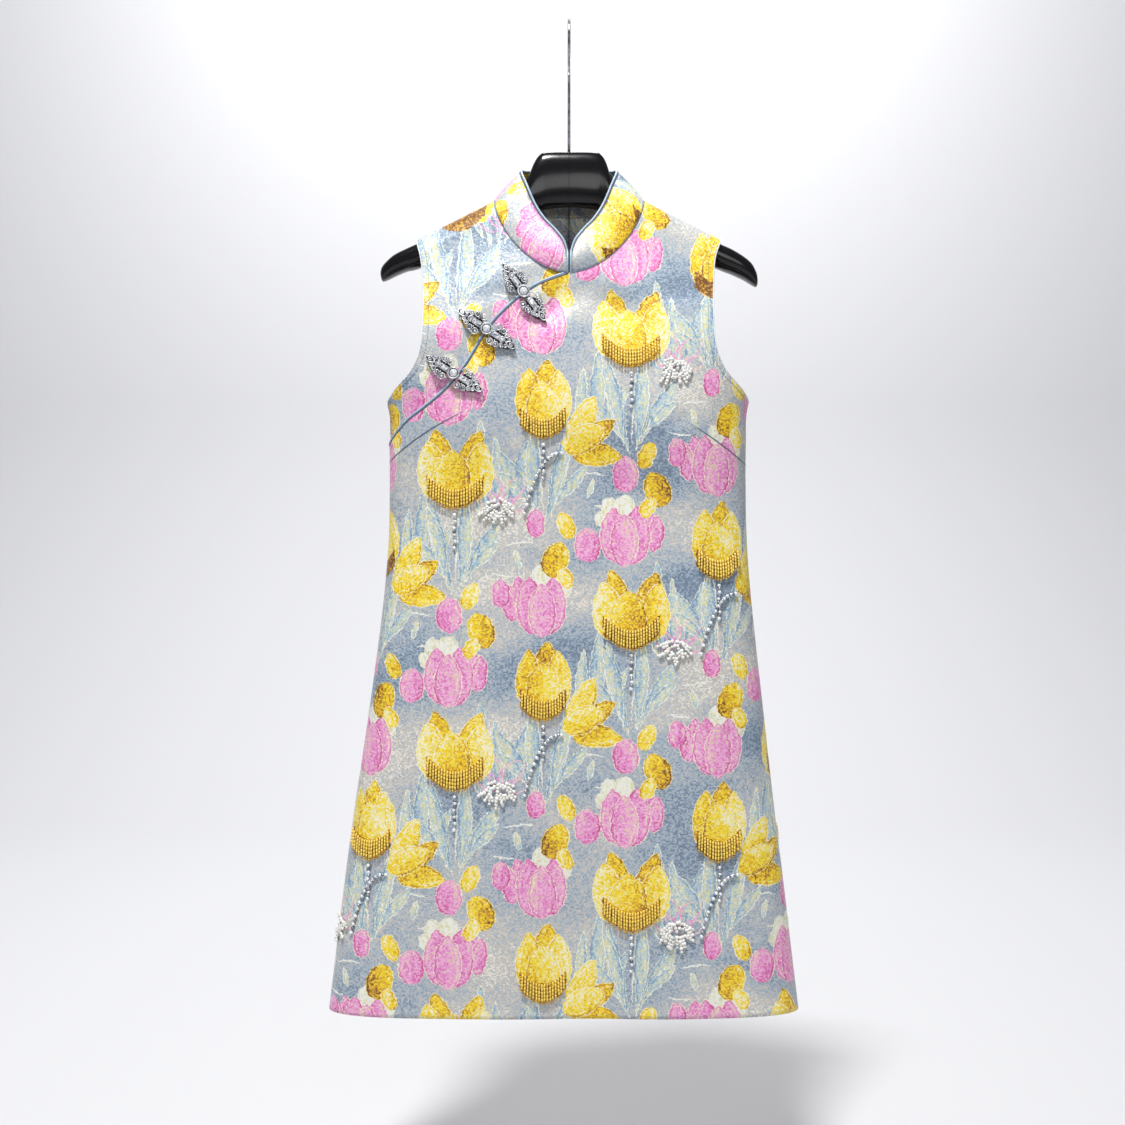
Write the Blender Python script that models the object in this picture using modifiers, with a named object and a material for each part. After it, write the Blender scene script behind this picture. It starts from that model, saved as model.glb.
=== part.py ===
"""A sleeveless A-line cheongsam dress hanging on a wide-shoulder hanger.

Metres, +Z up. The front faces -Y and the wearer's right side is at -X. The origin is the place on the
inside of the hook where a rail carries the whole thing, so the dress hangs below it.

The cloth is one smooth tube, cut into panels. A point of it is given by an angle t across the section,
from -pi/2 at the left side edge through 0 at the middle to +pi/2 at the right side edge, and by its
height z. Panels, piping, frogs and bead fringes all read their points from that one surface.
"""

import math
from types import SimpleNamespace

import bmesh
import bpy
import numpy as np
from mathutils import Matrix, Vector

# Cloth and seams
WALL = 0.0016  # satin jacquard with its interfacing
SEAM_EASE = 0.0004  # each panel's edge stays this far from the plane of the seam
SEAM_GAP = 0.0006  # the collar stands this far above the neck edge
LAP_WIDTH = 0.020  # how far the under-piece runs on below the front's slanted edge
LAP_DEPTH = WALL + 0.0008  # how far it lies inside the front panel there
LAP_FLAT = 0.004  # it stays at that level this far above the edge,
LAP_BLEND = 0.024  # and over this width it comes back out to the level of the front panel
EDGE_RADIUS = 0.0012  # piping cord
OPENING_CORD_START = 0.50  # shares of the first and the last column that it leaves free
OPENING_CORD_END = 0.25
FRONT_CORD_SHARES = (0.0, 0.4, 0.8)  # of the collar's height, where its cord runs up the front
BELOW_TOP = 0.7  # the share of that height that shows which way the collar's top points
BINDING_RADIUS = 0.0008  # armhole binding
BINDING_INSET = 0.15  # radians round the section, from the armhole's edge inward, to show which way is out
FOOT_GAP = 0.0004  # more than EDGE_GAP at the armhole's foot, where it turns sharply
EDGE_GAP = 0.0004  # between a cord and the edge that it runs along
REST_GAP = 0.0005  # under what lies on the cloth

# Heights of the cut
HEM_Z = -1.043
UNDERARM_Z = -0.4075
SHOULDER_TIP_Z = -0.232
NECK_POINT_Z = -0.191
FRONT_NECK_DROP = 0.0828
FRONT_NECK_ROUND, FRONT_NECK_DIP = 1.8, 0.62  # powers that shape the neck's curve
BACK_NECK_DROP = 0.012
BACK_NECK_DIP = 0.7
NECK_HALF = 0.079
SHOULDER_HALF = 0.160

# How the cloth rounds the hanger and the sides
HANG_DEPTH = 0.022
HANG_DROP = 0.022
FALL_LENGTH = 0.125
SECTION_POWER = 5.0
SECTION_SHARE = 0.4


def table(columns, rows):
    """Rows of numbers as one array for each named column."""
    return SimpleNamespace(**dict(zip(columns.split(), np.array(rows, float).T)))


# Sides and depths of the tube. Above the underarm, left and right only say how fast the section rounds.
BODY = table(
    "z left right front back",
    [
        (-1.043, -0.2535, 0.2425, 0.0480, 0.0460),
        (-0.985, -0.2465, 0.2355, 0.0475, 0.0455),
        (-0.911, -0.2375, 0.2268, 0.0470, 0.0450),
        (-0.826, -0.2258, 0.2162, 0.0465, 0.0440),
        (-0.741, -0.2130, 0.2067, 0.0460, 0.0430),
        (-0.656, -0.2014, 0.1972, 0.0450, 0.0420),
        (-0.600, -0.1948, 0.1915, 0.0440, 0.0410),
        (-0.550, -0.1908, 0.1880, 0.0435, 0.0405),
        (-0.500, -0.1897, 0.1868, 0.0450, 0.0400),
        (-0.450, -0.1899, 0.1870, 0.0490, 0.0400),
        (-0.4075, -0.1919, 0.1895, 0.0500, 0.0400),
        (-0.360, -0.2150, 0.2130, 0.0480, 0.0400),
        (-0.300, -0.2700, 0.2700, 0.0430, 0.0385),
        (-0.232, -0.3300, 0.3300, 0.0380, 0.0350),
        (-0.150, -0.3600, 0.3600, 0.0340, 0.0320),
    ],
)

ARMHOLE = table(
    "z left right",
    [
        (-0.4075, -0.1919, 0.1895),
        (-0.4020, -0.1868, 0.1860),
        (-0.3940, -0.1800, 0.1792),
        (-0.3795, -0.1655, 0.1648),
        (-0.3636, -0.1562, 0.1552),
        (-0.3456, -0.1518, 0.1502),
        (-0.3212, -0.1505, 0.1488),
        (-0.2873, -0.1508, 0.1495),
        (-0.2533, -0.1545, 0.1520),
        (-0.2320, -0.1605, 0.1596),
    ],
)

# The slanted front edge, from the left side seam up to the middle of the neck.
OPENING = table(
    "x z",
    [
        (-0.2200, -0.4760),
        (-0.1900, -0.4500),
        (-0.1778, -0.4366),
        (-0.1665, -0.4258),
        (-0.1482, -0.4130),
        (-0.1293, -0.3975),
        (-0.1168, -0.3846),
        (-0.1025, -0.3645),
        (-0.0889, -0.3410),
        (-0.0786, -0.3262),
        (-0.0641, -0.3108),
        (-0.0487, -0.2972),
        (-0.0332, -0.2868),
        (-0.0147, -0.2790),
        (0.0000, -0.2738),
    ],
)

# Soft dents and swells of the front and back: place, size, the slant of the long way, depth outward.
FOLDS = {
    "front": table(
        "x z length width slant depth",
        [
            (0.0350, -0.485, 0.070, 0.030, -50.0, -0.0035),
            (-0.0900, -0.300, 0.045, 0.012, 20.0, -0.0018),
            (0.1180, -0.292, 0.045, 0.011, 8.0, -0.0018),
            (-0.0100, -0.300, 0.028, 0.012, 65.0, -0.0012),
            (-0.0980, -0.425, 0.045, 0.040, 0.0, 0.0030),
            (0.1020, -0.432, 0.045, 0.040, 0.0, 0.0030),
            (-0.0800, -0.900, 0.240, 0.050, 96.0, 0.0022),
            (0.0200, -0.930, 0.220, 0.040, 90.0, -0.0024),
            (0.1150, -0.880, 0.260, 0.045, 84.0, 0.0022),
            (0.1650, -0.520, 0.060, 0.022, 75.0, -0.0020),
        ],
    ),
    "back": table(
        "x z length width slant depth",
        [
            (-0.1000, -0.900, 0.240, 0.050, 97.0, 0.0030),
            (0.0000, -0.920, 0.260, 0.045, 90.0, -0.0030),
            (0.1050, -0.900, 0.240, 0.050, 83.0, 0.0030),
        ],
    ),
}

# The collar's top edge, by the angle round the neck from the front, in degrees.
COLLAR_TOP = table(
    "angle x y z",
    [
        (0.0, 0.0032, -0.0405, -0.2515),
        (12.0, 0.0075, -0.0385, -0.2400),
        (25.0, 0.0160, -0.0345, -0.2285),
        (42.0, 0.0270, -0.0300, -0.2165),
        (60.0, 0.0375, -0.0245, -0.2000),
        (78.0, 0.0470, -0.0165, -0.1770),
        (95.0, 0.0525, 0.0000, -0.1610),
        (120.0, 0.0480, 0.0130, -0.1575),
        (150.0, 0.0290, 0.0220, -0.1560),
        (180.0, 0.0003, 0.0250, -0.1555),
    ],
)
COLLAR_FRONT_X = 0.0034  # the collar's front edge, leaving room for two cords
COLLAR_BOW = 0.0015  # how much it swells between seam and edge
COLLAR_STEP = 0.0004  # how far its foot stands outside the neck edge
COLLAR_ROWS = 5

# The hanger's outline from the front, with its half depth.
HANGER = table(
    "x top bottom half_depth",
    [
        (-0.1995, -0.2650, -0.2700, 0.0040),
        (-0.1975, -0.2600, -0.2755, 0.0095),
        (-0.1920, -0.2540, -0.2740, 0.0135),
        (-0.1840, -0.2475, -0.2700, 0.0155),
        (-0.1720, -0.2415, -0.2650, 0.0160),
        (-0.1570, -0.2345, -0.2610, 0.0160),
        (-0.1200, -0.2160, -0.2440, 0.0155),
        (-0.0800, -0.1995, -0.2250, 0.0140),
        (-0.0620, -0.1900, -0.2150, 0.0130),
        (-0.0510, -0.1790, -0.2085, 0.0122),
        (-0.0430, -0.1640, -0.2055, 0.0122),
        (-0.0370, -0.1500, -0.2035, 0.0120),
        (-0.0310, -0.1415, -0.2015, 0.0118),
        (-0.0230, -0.1385, -0.1990, 0.0117),
        (0.0000, -0.1380, -0.1972, 0.0117),
        (0.0270, -0.1385, -0.1992, 0.0117),
        (0.0345, -0.1420, -0.2018, 0.0118),
        (0.0395, -0.1500, -0.2035, 0.0120),
        (0.0440, -0.1635, -0.2055, 0.0122),
        (0.0510, -0.1785, -0.2085, 0.0122),
        (0.0620, -0.1900, -0.2150, 0.0130),
        (0.0800, -0.1995, -0.2250, 0.0140),
        (0.1200, -0.2160, -0.2440, 0.0155),
        (0.1570, -0.2350, -0.2620, 0.0160),
        (0.1720, -0.2420, -0.2680, 0.0160),
        (0.1850, -0.2500, -0.2740, 0.0155),
        (0.1930, -0.2570, -0.2790, 0.0135),
        (0.1980, -0.2660, -0.2815, 0.0095),
        (0.1997, -0.2730, -0.2790, 0.0040),
    ],
)
HANGER_RING = 14
HANGER_ROUNDNESS = 2.4

# The hook's wire, turned so that its plane is YZ
WIRE_RADIUS = 0.0016
HOOK_RADIUS = 0.0240  # to the middle of the wire
HOOK_FOOT_Z = -0.1376
STEM_TOP_GAP = 0.014  # the straight stem ends this far below the bend
SWING_START_GAP = 0.010
SWING_STEPS = 7
SWING_ANGLES = (-60.0, -22.0)  # angles on the bend's circle that the stem swings out towards
BEND_ANGLES = (-20.0, 238.0)  # where the bend starts and where its tail ends
BEND_STEPS = 16
WIRE_SIDES = 8

# Frogs: middle, slant below level, whole length, whole width
FROGS = table(
    "x z slant length width",
    [
        (-0.0466, -0.2955, 54.0, 0.0745, 0.0240),
        (-0.0847, -0.3343, 34.0, 0.0705, 0.0235),
        (-0.1180, -0.3800, 32.0, 0.0685, 0.0235),
    ],
)
FROG_START = 0.0056  # from the frog's middle to the near end of each wing
FROG_TOP = 0.0034  # height of a wing's rim over the cloth
FROG_CROWN = 0.0018  # and how much more its middle rises
FROG_RINGS = (0.42, 0.78, 1.0)
LOBES = 6
LOBE_DEPTH = 0.07
POINT_LENGTH = 0.10
WING_TAPER = 0.42
FROG_SPOKES = 16
BUTTON_SEAT = 0.0060
BUTTON_SIDES = 12
SAME_PLACE = 0.00005
AHEAD = 0.01  # a step off the cloth, for the way that a button faces
BUTTON_PROFILE = table(
    "radius height",
    [(0.0, 0.0044), (0.0026, 0.0040), (0.0042, 0.0026), (0.0046, 0.0016), (0.0062, 0.0014), (0.0062, 0.0)],
)

# Bead fringes: a half-drop repeat of two cups, measured along the cloth from the middle of each side
REPEAT_ACROSS = 0.182
REPEAT_DOWN = 0.290
FIRST_CUP = (-0.118, -0.500)
SECOND_CUP_STEP = (0.091, 0.072)
OPEN_CUP, ROUND_CUP = 0, 1  # rows of the table below
# Half a fringe's width, the length of its strands, how much its ends rise, and how many strands it has
FRINGES = table("half length arc strands", [(0.0285, 0.0225, 0.0150, 9), (0.0225, 0.0225, 0.0120, 7)])
FRINGE_STRIP = 0.0028  # height of the strip that carries the strands
FRINGE_THICKNESS = 0.0020
STRAND_SHARE = 0.56  # a strand's width as a share of the pitch
END_SHORTER = 0.12  # how much shorter the outermost strands are, as a share
FRINGE_CLEARANCE = 0.008  # from the edges of the cloth
FRINGE_TOP_Z = -0.345  # fringes start below this height
HEM_CLEARANCE = 0.004
CHEST_REACH = 0.090  # beside the armholes, a fringe's middle stays this near the middle line

# The grid of the panels and the collar
CHEST_HALF = 0.190  # half the dress's width where the back's middle seam is spaced
FRONT_LEVEL_Z = -0.530  # where the front's upper rows start at its left side, below the opening
MEASURE_STEPS = 241  # points of a row of cloth when it is measured
ABOVE_NECK_Z = -0.150  # the search for a column's top starts here,
HALVINGS = 44  # and halves the stretch this often
ARMHOLE_CROWDING = (1.6, 2.8)  # powers that draw the armhole's rows together at its foot and its top
SLOPE_STEP = 0.004  # along the opening, for its slope
NECK_ANGLES = (0.0, 15.0, 30.0, 45.0, 58.0, 70.0, 80.0, 90.0)
SHOULDER_COLUMNS = 9
ARMHOLE_ROWS = 14
SKIRT_ROWS = 11

STEP_T = 0.004
STEP_Z = 0.0004


def curve_through(xs, ys, at):
    """Reads a smooth curve through the points (xs, ys) at each value of at."""
    rise = np.diff(ys) / np.diff(xs)
    slopes = np.concatenate([rise[:1], (rise[1:] + rise[:-1]) / 2, rise[-1:]])
    at = np.clip(at, xs[0], xs[-1])
    i = np.clip(np.searchsorted(xs, at) - 1, 0, len(xs) - 2)
    gap = xs[i + 1] - xs[i]
    u = (at - xs[i]) / gap
    near = ys[i] * (1 + 2 * u) + slopes[i] * gap * u
    far = ys[i + 1] * (3 - 2 * u) + slopes[i + 1] * gap * (u - 1)
    return near * (1 - u) ** 2 + far * u * u


def smooth_step(u):
    u = np.clip(u, 0.0, 1.0)
    return u * u * (3 - 2 * u)


# Outline of the cut, seen from the front


def shoulder_z(x):
    slope = (NECK_POINT_Z - SHOULDER_TIP_Z) / (SHOULDER_HALF - NECK_HALF)
    return NECK_POINT_Z - (np.abs(x) - NECK_HALF) * slope


def front_neck_z(x):
    inside = 1 - np.clip(np.abs(x) / NECK_HALF, 0, 1) ** FRONT_NECK_ROUND
    return np.where(inside > 0, NECK_POINT_Z - FRONT_NECK_DROP * inside**FRONT_NECK_DIP, shoulder_z(x))


def back_neck_z(x):
    inside = 1 - np.clip(np.abs(x) / NECK_HALF, 0, 1) ** 2
    return np.where(inside > 0, NECK_POINT_Z - BACK_NECK_DROP * inside**BACK_NECK_DIP, shoulder_z(x))


def opening_z(x):
    return curve_through(OPENING.x, OPENING.z, x)


def front_top_z(x):
    """Top edge of the front panel: the slanted opening, then the neck and the right shoulder."""
    return np.where(x < 0, opening_z(x), front_neck_z(x))


def side_limits(z):
    """The left and right edges of the cloth at height z: side seams, then armholes."""
    low = z <= UNDERARM_Z
    left = np.where(low, curve_through(BODY.z, BODY.left, z), curve_through(ARMHOLE.z, ARMHOLE.left, z))
    right = np.where(low, curve_through(BODY.z, BODY.right, z), curve_through(ARMHOLE.z, ARMHOLE.right, z))
    return left, right


def x_at(t, z):
    left, right = side_limits(z)
    return (left + right) / 2 + (right - left) / 2 * np.sin(t)


def t_at_x(x, z):
    left, right = side_limits(z)
    return np.arcsin(np.clip((x - (left + right) / 2) / ((right - left) / 2), -1, 1))


# The surface of the cloth


def fold_depth(x, z, side):
    total = np.zeros(np.broadcast(x, z).shape)
    folds = FOLDS[side]
    for i, angle in enumerate(np.radians(folds.slant)):
        dx, dz = x - folds.x[i], z - folds.z[i]
        along = (dx * math.cos(angle) + dz * math.sin(angle)) / folds.length[i]
        across = (dz * math.cos(angle) - dx * math.sin(angle)) / folds.width[i]
        total += folds.depth[i] * np.exp(-(along**2) - across**2)
    return total


def depth_at(x, z, side):
    """How far the cloth stands out from the plane of the seams."""
    left = curve_through(BODY.z, BODY.left, z)
    right = curve_through(BODY.z, BODY.right, z)
    across = np.clip(np.abs(x - (left + right) / 2) / ((right - left) / 2), 0, 1)
    section = (1 - across**SECTION_POWER) ** SECTION_SHARE
    drop = np.maximum(shoulder_z(x) - z, 0)
    over_hanger = HANG_DEPTH * np.sqrt(1 - (1 - np.clip(drop / HANG_DROP, 0, 1)) ** 2)
    fall = smooth_step(drop / FALL_LENGTH)
    hung = over_hanger * (1 - fall) + curve_through(BODY.z, getattr(BODY, side), z) * fall
    return section * (hung + fold_depth(x, z, side) * fall)


def surface(t, z, side):
    x = x_at(t, z)
    y = SEAM_EASE + depth_at(x, z, side)
    return np.stack(np.broadcast_arrays(x, -y if side == "front" else y, z), -1)


def cloth(t, z, side, lift=0.0):
    """Points of the cloth's outer face, moved out by lift."""
    t, z = np.broadcast_arrays(np.asarray(t, float), np.asarray(z, float))
    low_t, high_t = np.maximum(t - STEP_T, -math.pi / 2), np.minimum(t + STEP_T, math.pi / 2)
    across = surface(high_t, z, side) - surface(low_t, z, side)
    up = surface(t, z, side) - surface(t, z - STEP_Z, side)
    normal = np.cross(across, up) * (1 if side == "front" else -1)
    normal /= np.linalg.norm(normal, axis=-1, keepdims=True)
    return surface(t, z, side) + normal * np.asarray(lift)[..., None]


def column_top(t, edge):
    """The height at which each column t meets the edge z = edge(x)."""
    low, high = np.full(len(t), HEM_Z), np.full(len(t), ABOVE_NECK_Z)
    for _ in range(HALVINGS):
        middle = (low + high) / 2
        inside = middle < edge(x_at(t, middle))
        low, high = np.where(inside, middle, low), np.where(inside, high, middle)
    return (low + high) / 2


def along_cloth(u, z, side):
    """Angles t of the points that lie u along the cloth from its middle line, at heights z."""
    grid = np.linspace(-math.pi / 2, math.pi / 2, MEASURE_STEPS)
    found = []
    for one_u, one_z in zip(np.ravel(u), np.ravel(z)):
        row = surface(grid, np.full(len(grid), one_z), side)
        length = np.concatenate([[0], np.cumsum(np.linalg.norm(np.diff(row, axis=0), axis=1))])
        found.append(np.interp(one_u, length - np.interp(t_at_x(0.0, one_z), grid, length), grid))
    return np.array(found).reshape(np.shape(u))


def side_room(z, side):
    """Length along the cloth from the middle line to the left and right edges at height z."""
    grid = np.linspace(-math.pi / 2, math.pi / 2, MEASURE_STEPS)
    row = surface(grid, np.full(len(grid), z), side)
    length = np.concatenate([[0], np.cumsum(np.linalg.norm(np.diff(row, axis=0), axis=1))])
    middle = np.interp(t_at_x(0.0, z), grid, length)
    return middle, length[-1] - middle


# Blender objects


def clear_scene():
    for thing in list(bpy.data.objects):
        bpy.data.objects.remove(thing, do_unlink=True)


def make_collection(name):
    group = bpy.data.collections.new(name)
    bpy.context.scene.collection.children.link(group)
    return group


def make_material(name, colour, roughness, metallic=0.0):
    material = bpy.data.materials.new(name)
    material.use_nodes = True
    shader = material.node_tree.nodes["Principled BSDF"]
    shader.inputs["Base Color"].default_value = (*colour, 1.0)
    shader.inputs["Roughness"].default_value = roughness
    shader.inputs["Metallic"].default_value = metallic
    return material


def add_mesh(name, points, faces, material, group):
    mesh = bpy.data.meshes.new(name)
    mesh.from_pydata([tuple(map(float, point)) for point in points], [], faces)
    mesh.materials.append(material)
    mesh.shade_smooth()
    mesh.update()
    thing = bpy.data.objects.new(name, mesh)
    group.objects.link(thing)
    return thing


def solidify(thing, thickness, offset):
    wall = thing.modifiers.new("Wall", "SOLIDIFY")
    wall.thickness = thickness
    wall.offset = offset
    return wall


def grid_faces(columns, rows, flip):
    faces = []
    for i in range(columns - 1):
        for j in range(rows - 1):
            a, b = i * rows + j, (i + 1) * rows + j
            face = (a, b, b + 1, a + 1)
            faces.append(face[::-1] if flip else face)
    return faces


def add_cord(name, path, radius, material, group, closed=False, sides=6):
    """A round cord or wire along a list of points."""
    data = bpy.data.curves.new(name, "CURVE")
    data.dimensions = "3D"
    data.bevel_depth = radius
    data.bevel_resolution = (sides - 4) // 2
    data.use_fill_caps = not closed
    line = data.splines.new("POLY")
    line.points.add(len(path) - 1)
    for point, place in zip(line.points, path):
        point.co = (*map(float, place), 1.0)
    line.use_cyclic_u = closed
    line.use_smooth = True
    data.materials.append(material)
    thing = bpy.data.objects.new(name, data)
    group.objects.link(thing)
    return thing


# Panels


def spread(*stops):
    """Values from stop to stop, given as value, count, value, count, ... value."""
    values = [stops[0]]
    for count, start, end in zip(stops[1::2], stops[0::2], stops[2::2]):
        values += [start + (end - start) * (k + 1) / count for k in range(count)]
    return np.array(values)


def armhole_shares():
    """Shares of the way up from the underarm, closer together at both ends."""
    foot, top = ARMHOLE_CROWDING
    return [1 - (1 - (k / ARMHOLE_ROWS) ** foot) ** top for k in range(ARMHOLE_ROWS + 1)]


def column_rows(*levels, counts):
    """Heights up each column: even rows between the lower levels, then the armhole's rows to the top."""
    rows = []
    for low, high, count in zip(levels, levels[1:], counts):
        rows += [low + (high - low) * k / count for k in range(count)]
    low, high = levels[-2:]
    return np.stack(rows + [low + (high - low) * share for share in armhole_shares()], -1)


def neck_columns(edge):
    """Angles t of the columns that end along the neck, from the middle out to the neck point."""
    columns = []
    for angle in NECK_ANGLES:
        x = NECK_HALF * math.sin(math.radians(angle))
        columns.append(float(t_at_x(x, edge(x))))
    return columns


def half_columns(edge):
    """Columns from the middle of one side to its edge."""
    neck = neck_columns(edge)
    return np.array(neck[:-1] + list(spread(neck[-1], SHOULDER_COLUMNS, math.pi / 2)))


def add_panel(name, t, heights, side, material, group, lift=0.0):
    spots = cloth(t[:, None], heights, side, lift)
    faces = grid_faces(*heights.shape, flip=side == "back")
    panel = add_mesh(name, spots.reshape(-1, 3), faces, material, group)
    solidify(panel, WALL, -1.0)
    return panel


def lap_lift(t, z):
    """The under-piece's level: flush with the front away from the opening, inside it near and beyond."""
    x = x_at(t, z)
    slope = (opening_z(x + SLOPE_STEP) - opening_z(x - SLOPE_STEP)) / (2 * SLOPE_STEP)
    distance = (z - opening_z(x)) / np.sqrt(1 + slope**2)
    return -LAP_DEPTH * (1 - smooth_step((distance - LAP_FLAT) / LAP_BLEND))


def front_columns():
    """Columns of the whole front. The under-piece shares those of the left half."""
    half = half_columns(front_neck_z)
    return np.concatenate([-half[:0:-1], half])


def add_front_panel(material, group):
    t = front_columns()
    top = column_top(t, front_top_z)
    middle = np.interp(t, [-math.pi / 2, math.pi / 2], [FRONT_LEVEL_Z, UNDERARM_Z])
    heights = column_rows(np.full(len(t), HEM_Z), middle, top, counts=(SKIRT_ROWS,))
    return add_panel("front_panel", t, heights, "front", material, group)


def add_under_piece(material, group):
    t = front_columns()
    t = t[: len(t) // 2 + 1]
    top, opening = column_top(t, front_neck_z), column_top(t, opening_z)
    share = (UNDERARM_Z - opening[0]) / (top[0] - opening[0])
    middle = opening + (top - opening) * share
    heights = column_rows(opening - LAP_WIDTH, opening, middle, top, counts=(2, 3))
    return add_panel(
        "right_front_panel", t, heights, "front", material, group, lap_lift(t[:, None], heights)
    )


def add_back_panels(material, group):
    half = half_columns(back_neck_z)
    half[0] = SEAM_EASE / 2 / CHEST_HALF
    for name, sign in (("back_left_panel", -1), ("back_right_panel", 1)):
        t = np.sort(sign * half)
        top = column_top(t, back_neck_z)
        low, middle = np.full(len(t), HEM_Z), np.full(len(t), UNDERARM_Z)
        heights = column_rows(low, middle, top, counts=(SKIRT_ROWS,))
        add_panel(name, t, heights, "back", material, group)


# Collar and corded edges


def neck_edge(angle):
    """The neck seam, by the angle in degrees round the neck from the front, on the +X side."""
    least = COLLAR_FRONT_X if angle < 90 else SEAM_EASE
    x = max(NECK_HALF * math.sin(math.radians(angle)), least)
    side, edge = ("front", front_neck_z) if angle <= 90 else ("back", back_neck_z)
    z = float(edge(x))
    y = float(SEAM_EASE + depth_at(x, z, side)) * (angle != 90)
    return np.array([x, -y if side == "front" else y, z])


def collar_top(angle):
    return np.array([curve_through(COLLAR_TOP.angle, getattr(COLLAR_TOP, axis), angle) for axis in "xyz"])


def outward(angle):
    return np.array([math.sin(math.radians(angle)), -math.cos(math.radians(angle)), 0.0])


def collar_point(angle, share):
    """A point of the collar's outer face, share of the way up from the neck seam."""
    low, high = neck_edge(angle), collar_top(angle)
    up = (high - low) / np.linalg.norm(high - low)
    start = low + up * SEAM_GAP + outward(angle) * COLLAR_STEP
    return start + (high - start) * share + outward(angle) * COLLAR_BOW * math.sin(math.pi * share)


def collar_angles():
    return list(NECK_ANGLES) + [180.0 - angle for angle in NECK_ANGLES[-2::-1]]


def add_collar(sign, material, group):
    angles = collar_angles()
    shares = [k / (COLLAR_ROWS - 1) for k in range(COLLAR_ROWS)]
    spots = [collar_point(angle, share) * (sign, 1, 1) for angle in angles for share in shares]
    name = "collar_left" if sign < 0 else "collar_right"
    faces = grid_faces(len(angles), COLLAR_ROWS, flip=sign < 0)
    collar = add_mesh(name, spots, faces, material, group)
    solidify(collar, WALL, -1.0)


def add_collar_cord(sign, material, group):
    """The cord up the collar's front edge and round its top."""
    reach = EDGE_RADIUS + EDGE_GAP
    front_x = COLLAR_FRONT_X - reach
    path = [collar_point(0.0, share) * (0, 1, 1) + (front_x, WALL / 2, 0) for share in FRONT_CORD_SHARES]
    angles = collar_angles()
    tops = [collar_point(angle, 1.0) for angle in angles]
    for k, angle in enumerate(angles):
        along = tops[min(k + 1, len(tops) - 1)] - tops[max(k - 1, 0)]
        along /= np.linalg.norm(along)
        up = tops[k] - collar_point(angle, BELOW_TOP)
        up -= along * (up @ along)
        spot = tops[k] + up / np.linalg.norm(up) * reach - outward(angle) * WALL / 2
        spot[0] = max(spot[0], front_x)
        path.append(spot)
    path = [spot * (sign, 1, 1) for spot in path]
    add_cord("collar_cord_left" if sign < 0 else "collar_cord_right", path, EDGE_RADIUS, material, group)


def add_opening_cord(material, group):
    """The cord along the front panel's slanted edge, lying on the under-piece."""
    t = front_columns()
    t = t[: len(t) // 2 + 1]
    z = column_top(t, front_top_z)
    level = EDGE_RADIUS + EDGE_GAP - LAP_DEPTH
    edge = cloth(t, z, "front", level)
    normal = edge - cloth(t, z, "front", level - WALL)
    edge[0] += (edge[1] - edge[0]) * OPENING_CORD_START
    edge[-1] += (edge[-2] - edge[-1]) * OPENING_CORD_END
    out = np.cross(normal, np.gradient(edge, axis=0))
    out /= np.linalg.norm(out, axis=1, keepdims=True)
    add_cord("opening_cord", edge + out * (EDGE_RADIUS + EDGE_GAP), EDGE_RADIUS, material, group)


def add_armhole_binding(sign, material, group):
    """One closed cord round the armhole, just off the panels' edges."""
    edge = sign * math.pi / 2
    heights = np.interp(armhole_shares()[1:-1], [0, 1], [UNDERARM_Z, SHOULDER_TIP_Z])
    loop, inner = [], []
    for side, order in (("front", 1), ("back", -1)):
        loop += list(cloth(edge, heights, side, -WALL / 2)[::order])
        inner += list(cloth(edge - sign * BINDING_INSET, heights, side, -WALL / 2)[::order])
    loop, inner = np.array(loop), np.array(inner)
    along = np.roll(loop, -1, axis=0) - np.roll(loop, 1, axis=0)
    along /= np.linalg.norm(along, axis=1, keepdims=True)
    out = loop - inner
    out -= along * (out * along).sum(1, keepdims=True)
    out /= np.linalg.norm(out, axis=1, keepdims=True)
    reach = BINDING_RADIUS + EDGE_GAP
    path = list(loop + out * reach)
    path.insert(len(heights), np.array([sign * (SHOULDER_HALF + reach), 0.0, SHOULDER_TIP_Z - WALL / 2]))
    foot = (side_limits(UNDERARM_Z)[sign > 0] - sign * WALL / 2, 0.0, UNDERARM_Z + reach + FOOT_GAP)
    path.append(np.array(foot, float))
    name = "armhole_binding_left" if sign < 0 else "armhole_binding_right"
    add_cord(name, path, BINDING_RADIUS, material, group, closed=True)


# Frogs


def frog_outline(angle):
    """A wing's reach from its own middle, as shares of half its length and half its width."""
    lobes = 1 + LOBE_DEPTH * math.cos(LOBES * angle)
    point = 1 + POINT_LENGTH * max(0.0, math.cos(angle)) ** LOBES
    return math.cos(angle) * point * lobes, math.sin(angle) * lobes * (1 - WING_TAPER * math.cos(angle))


def wing_level(x, z, wing):
    """The level of what carries a wing: the under-piece on one side, the front panel on the other."""
    t = t_at_x(x, z)
    return (lap_lift(t, z) if wing < 0 else 0.0) + REST_GAP


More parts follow.
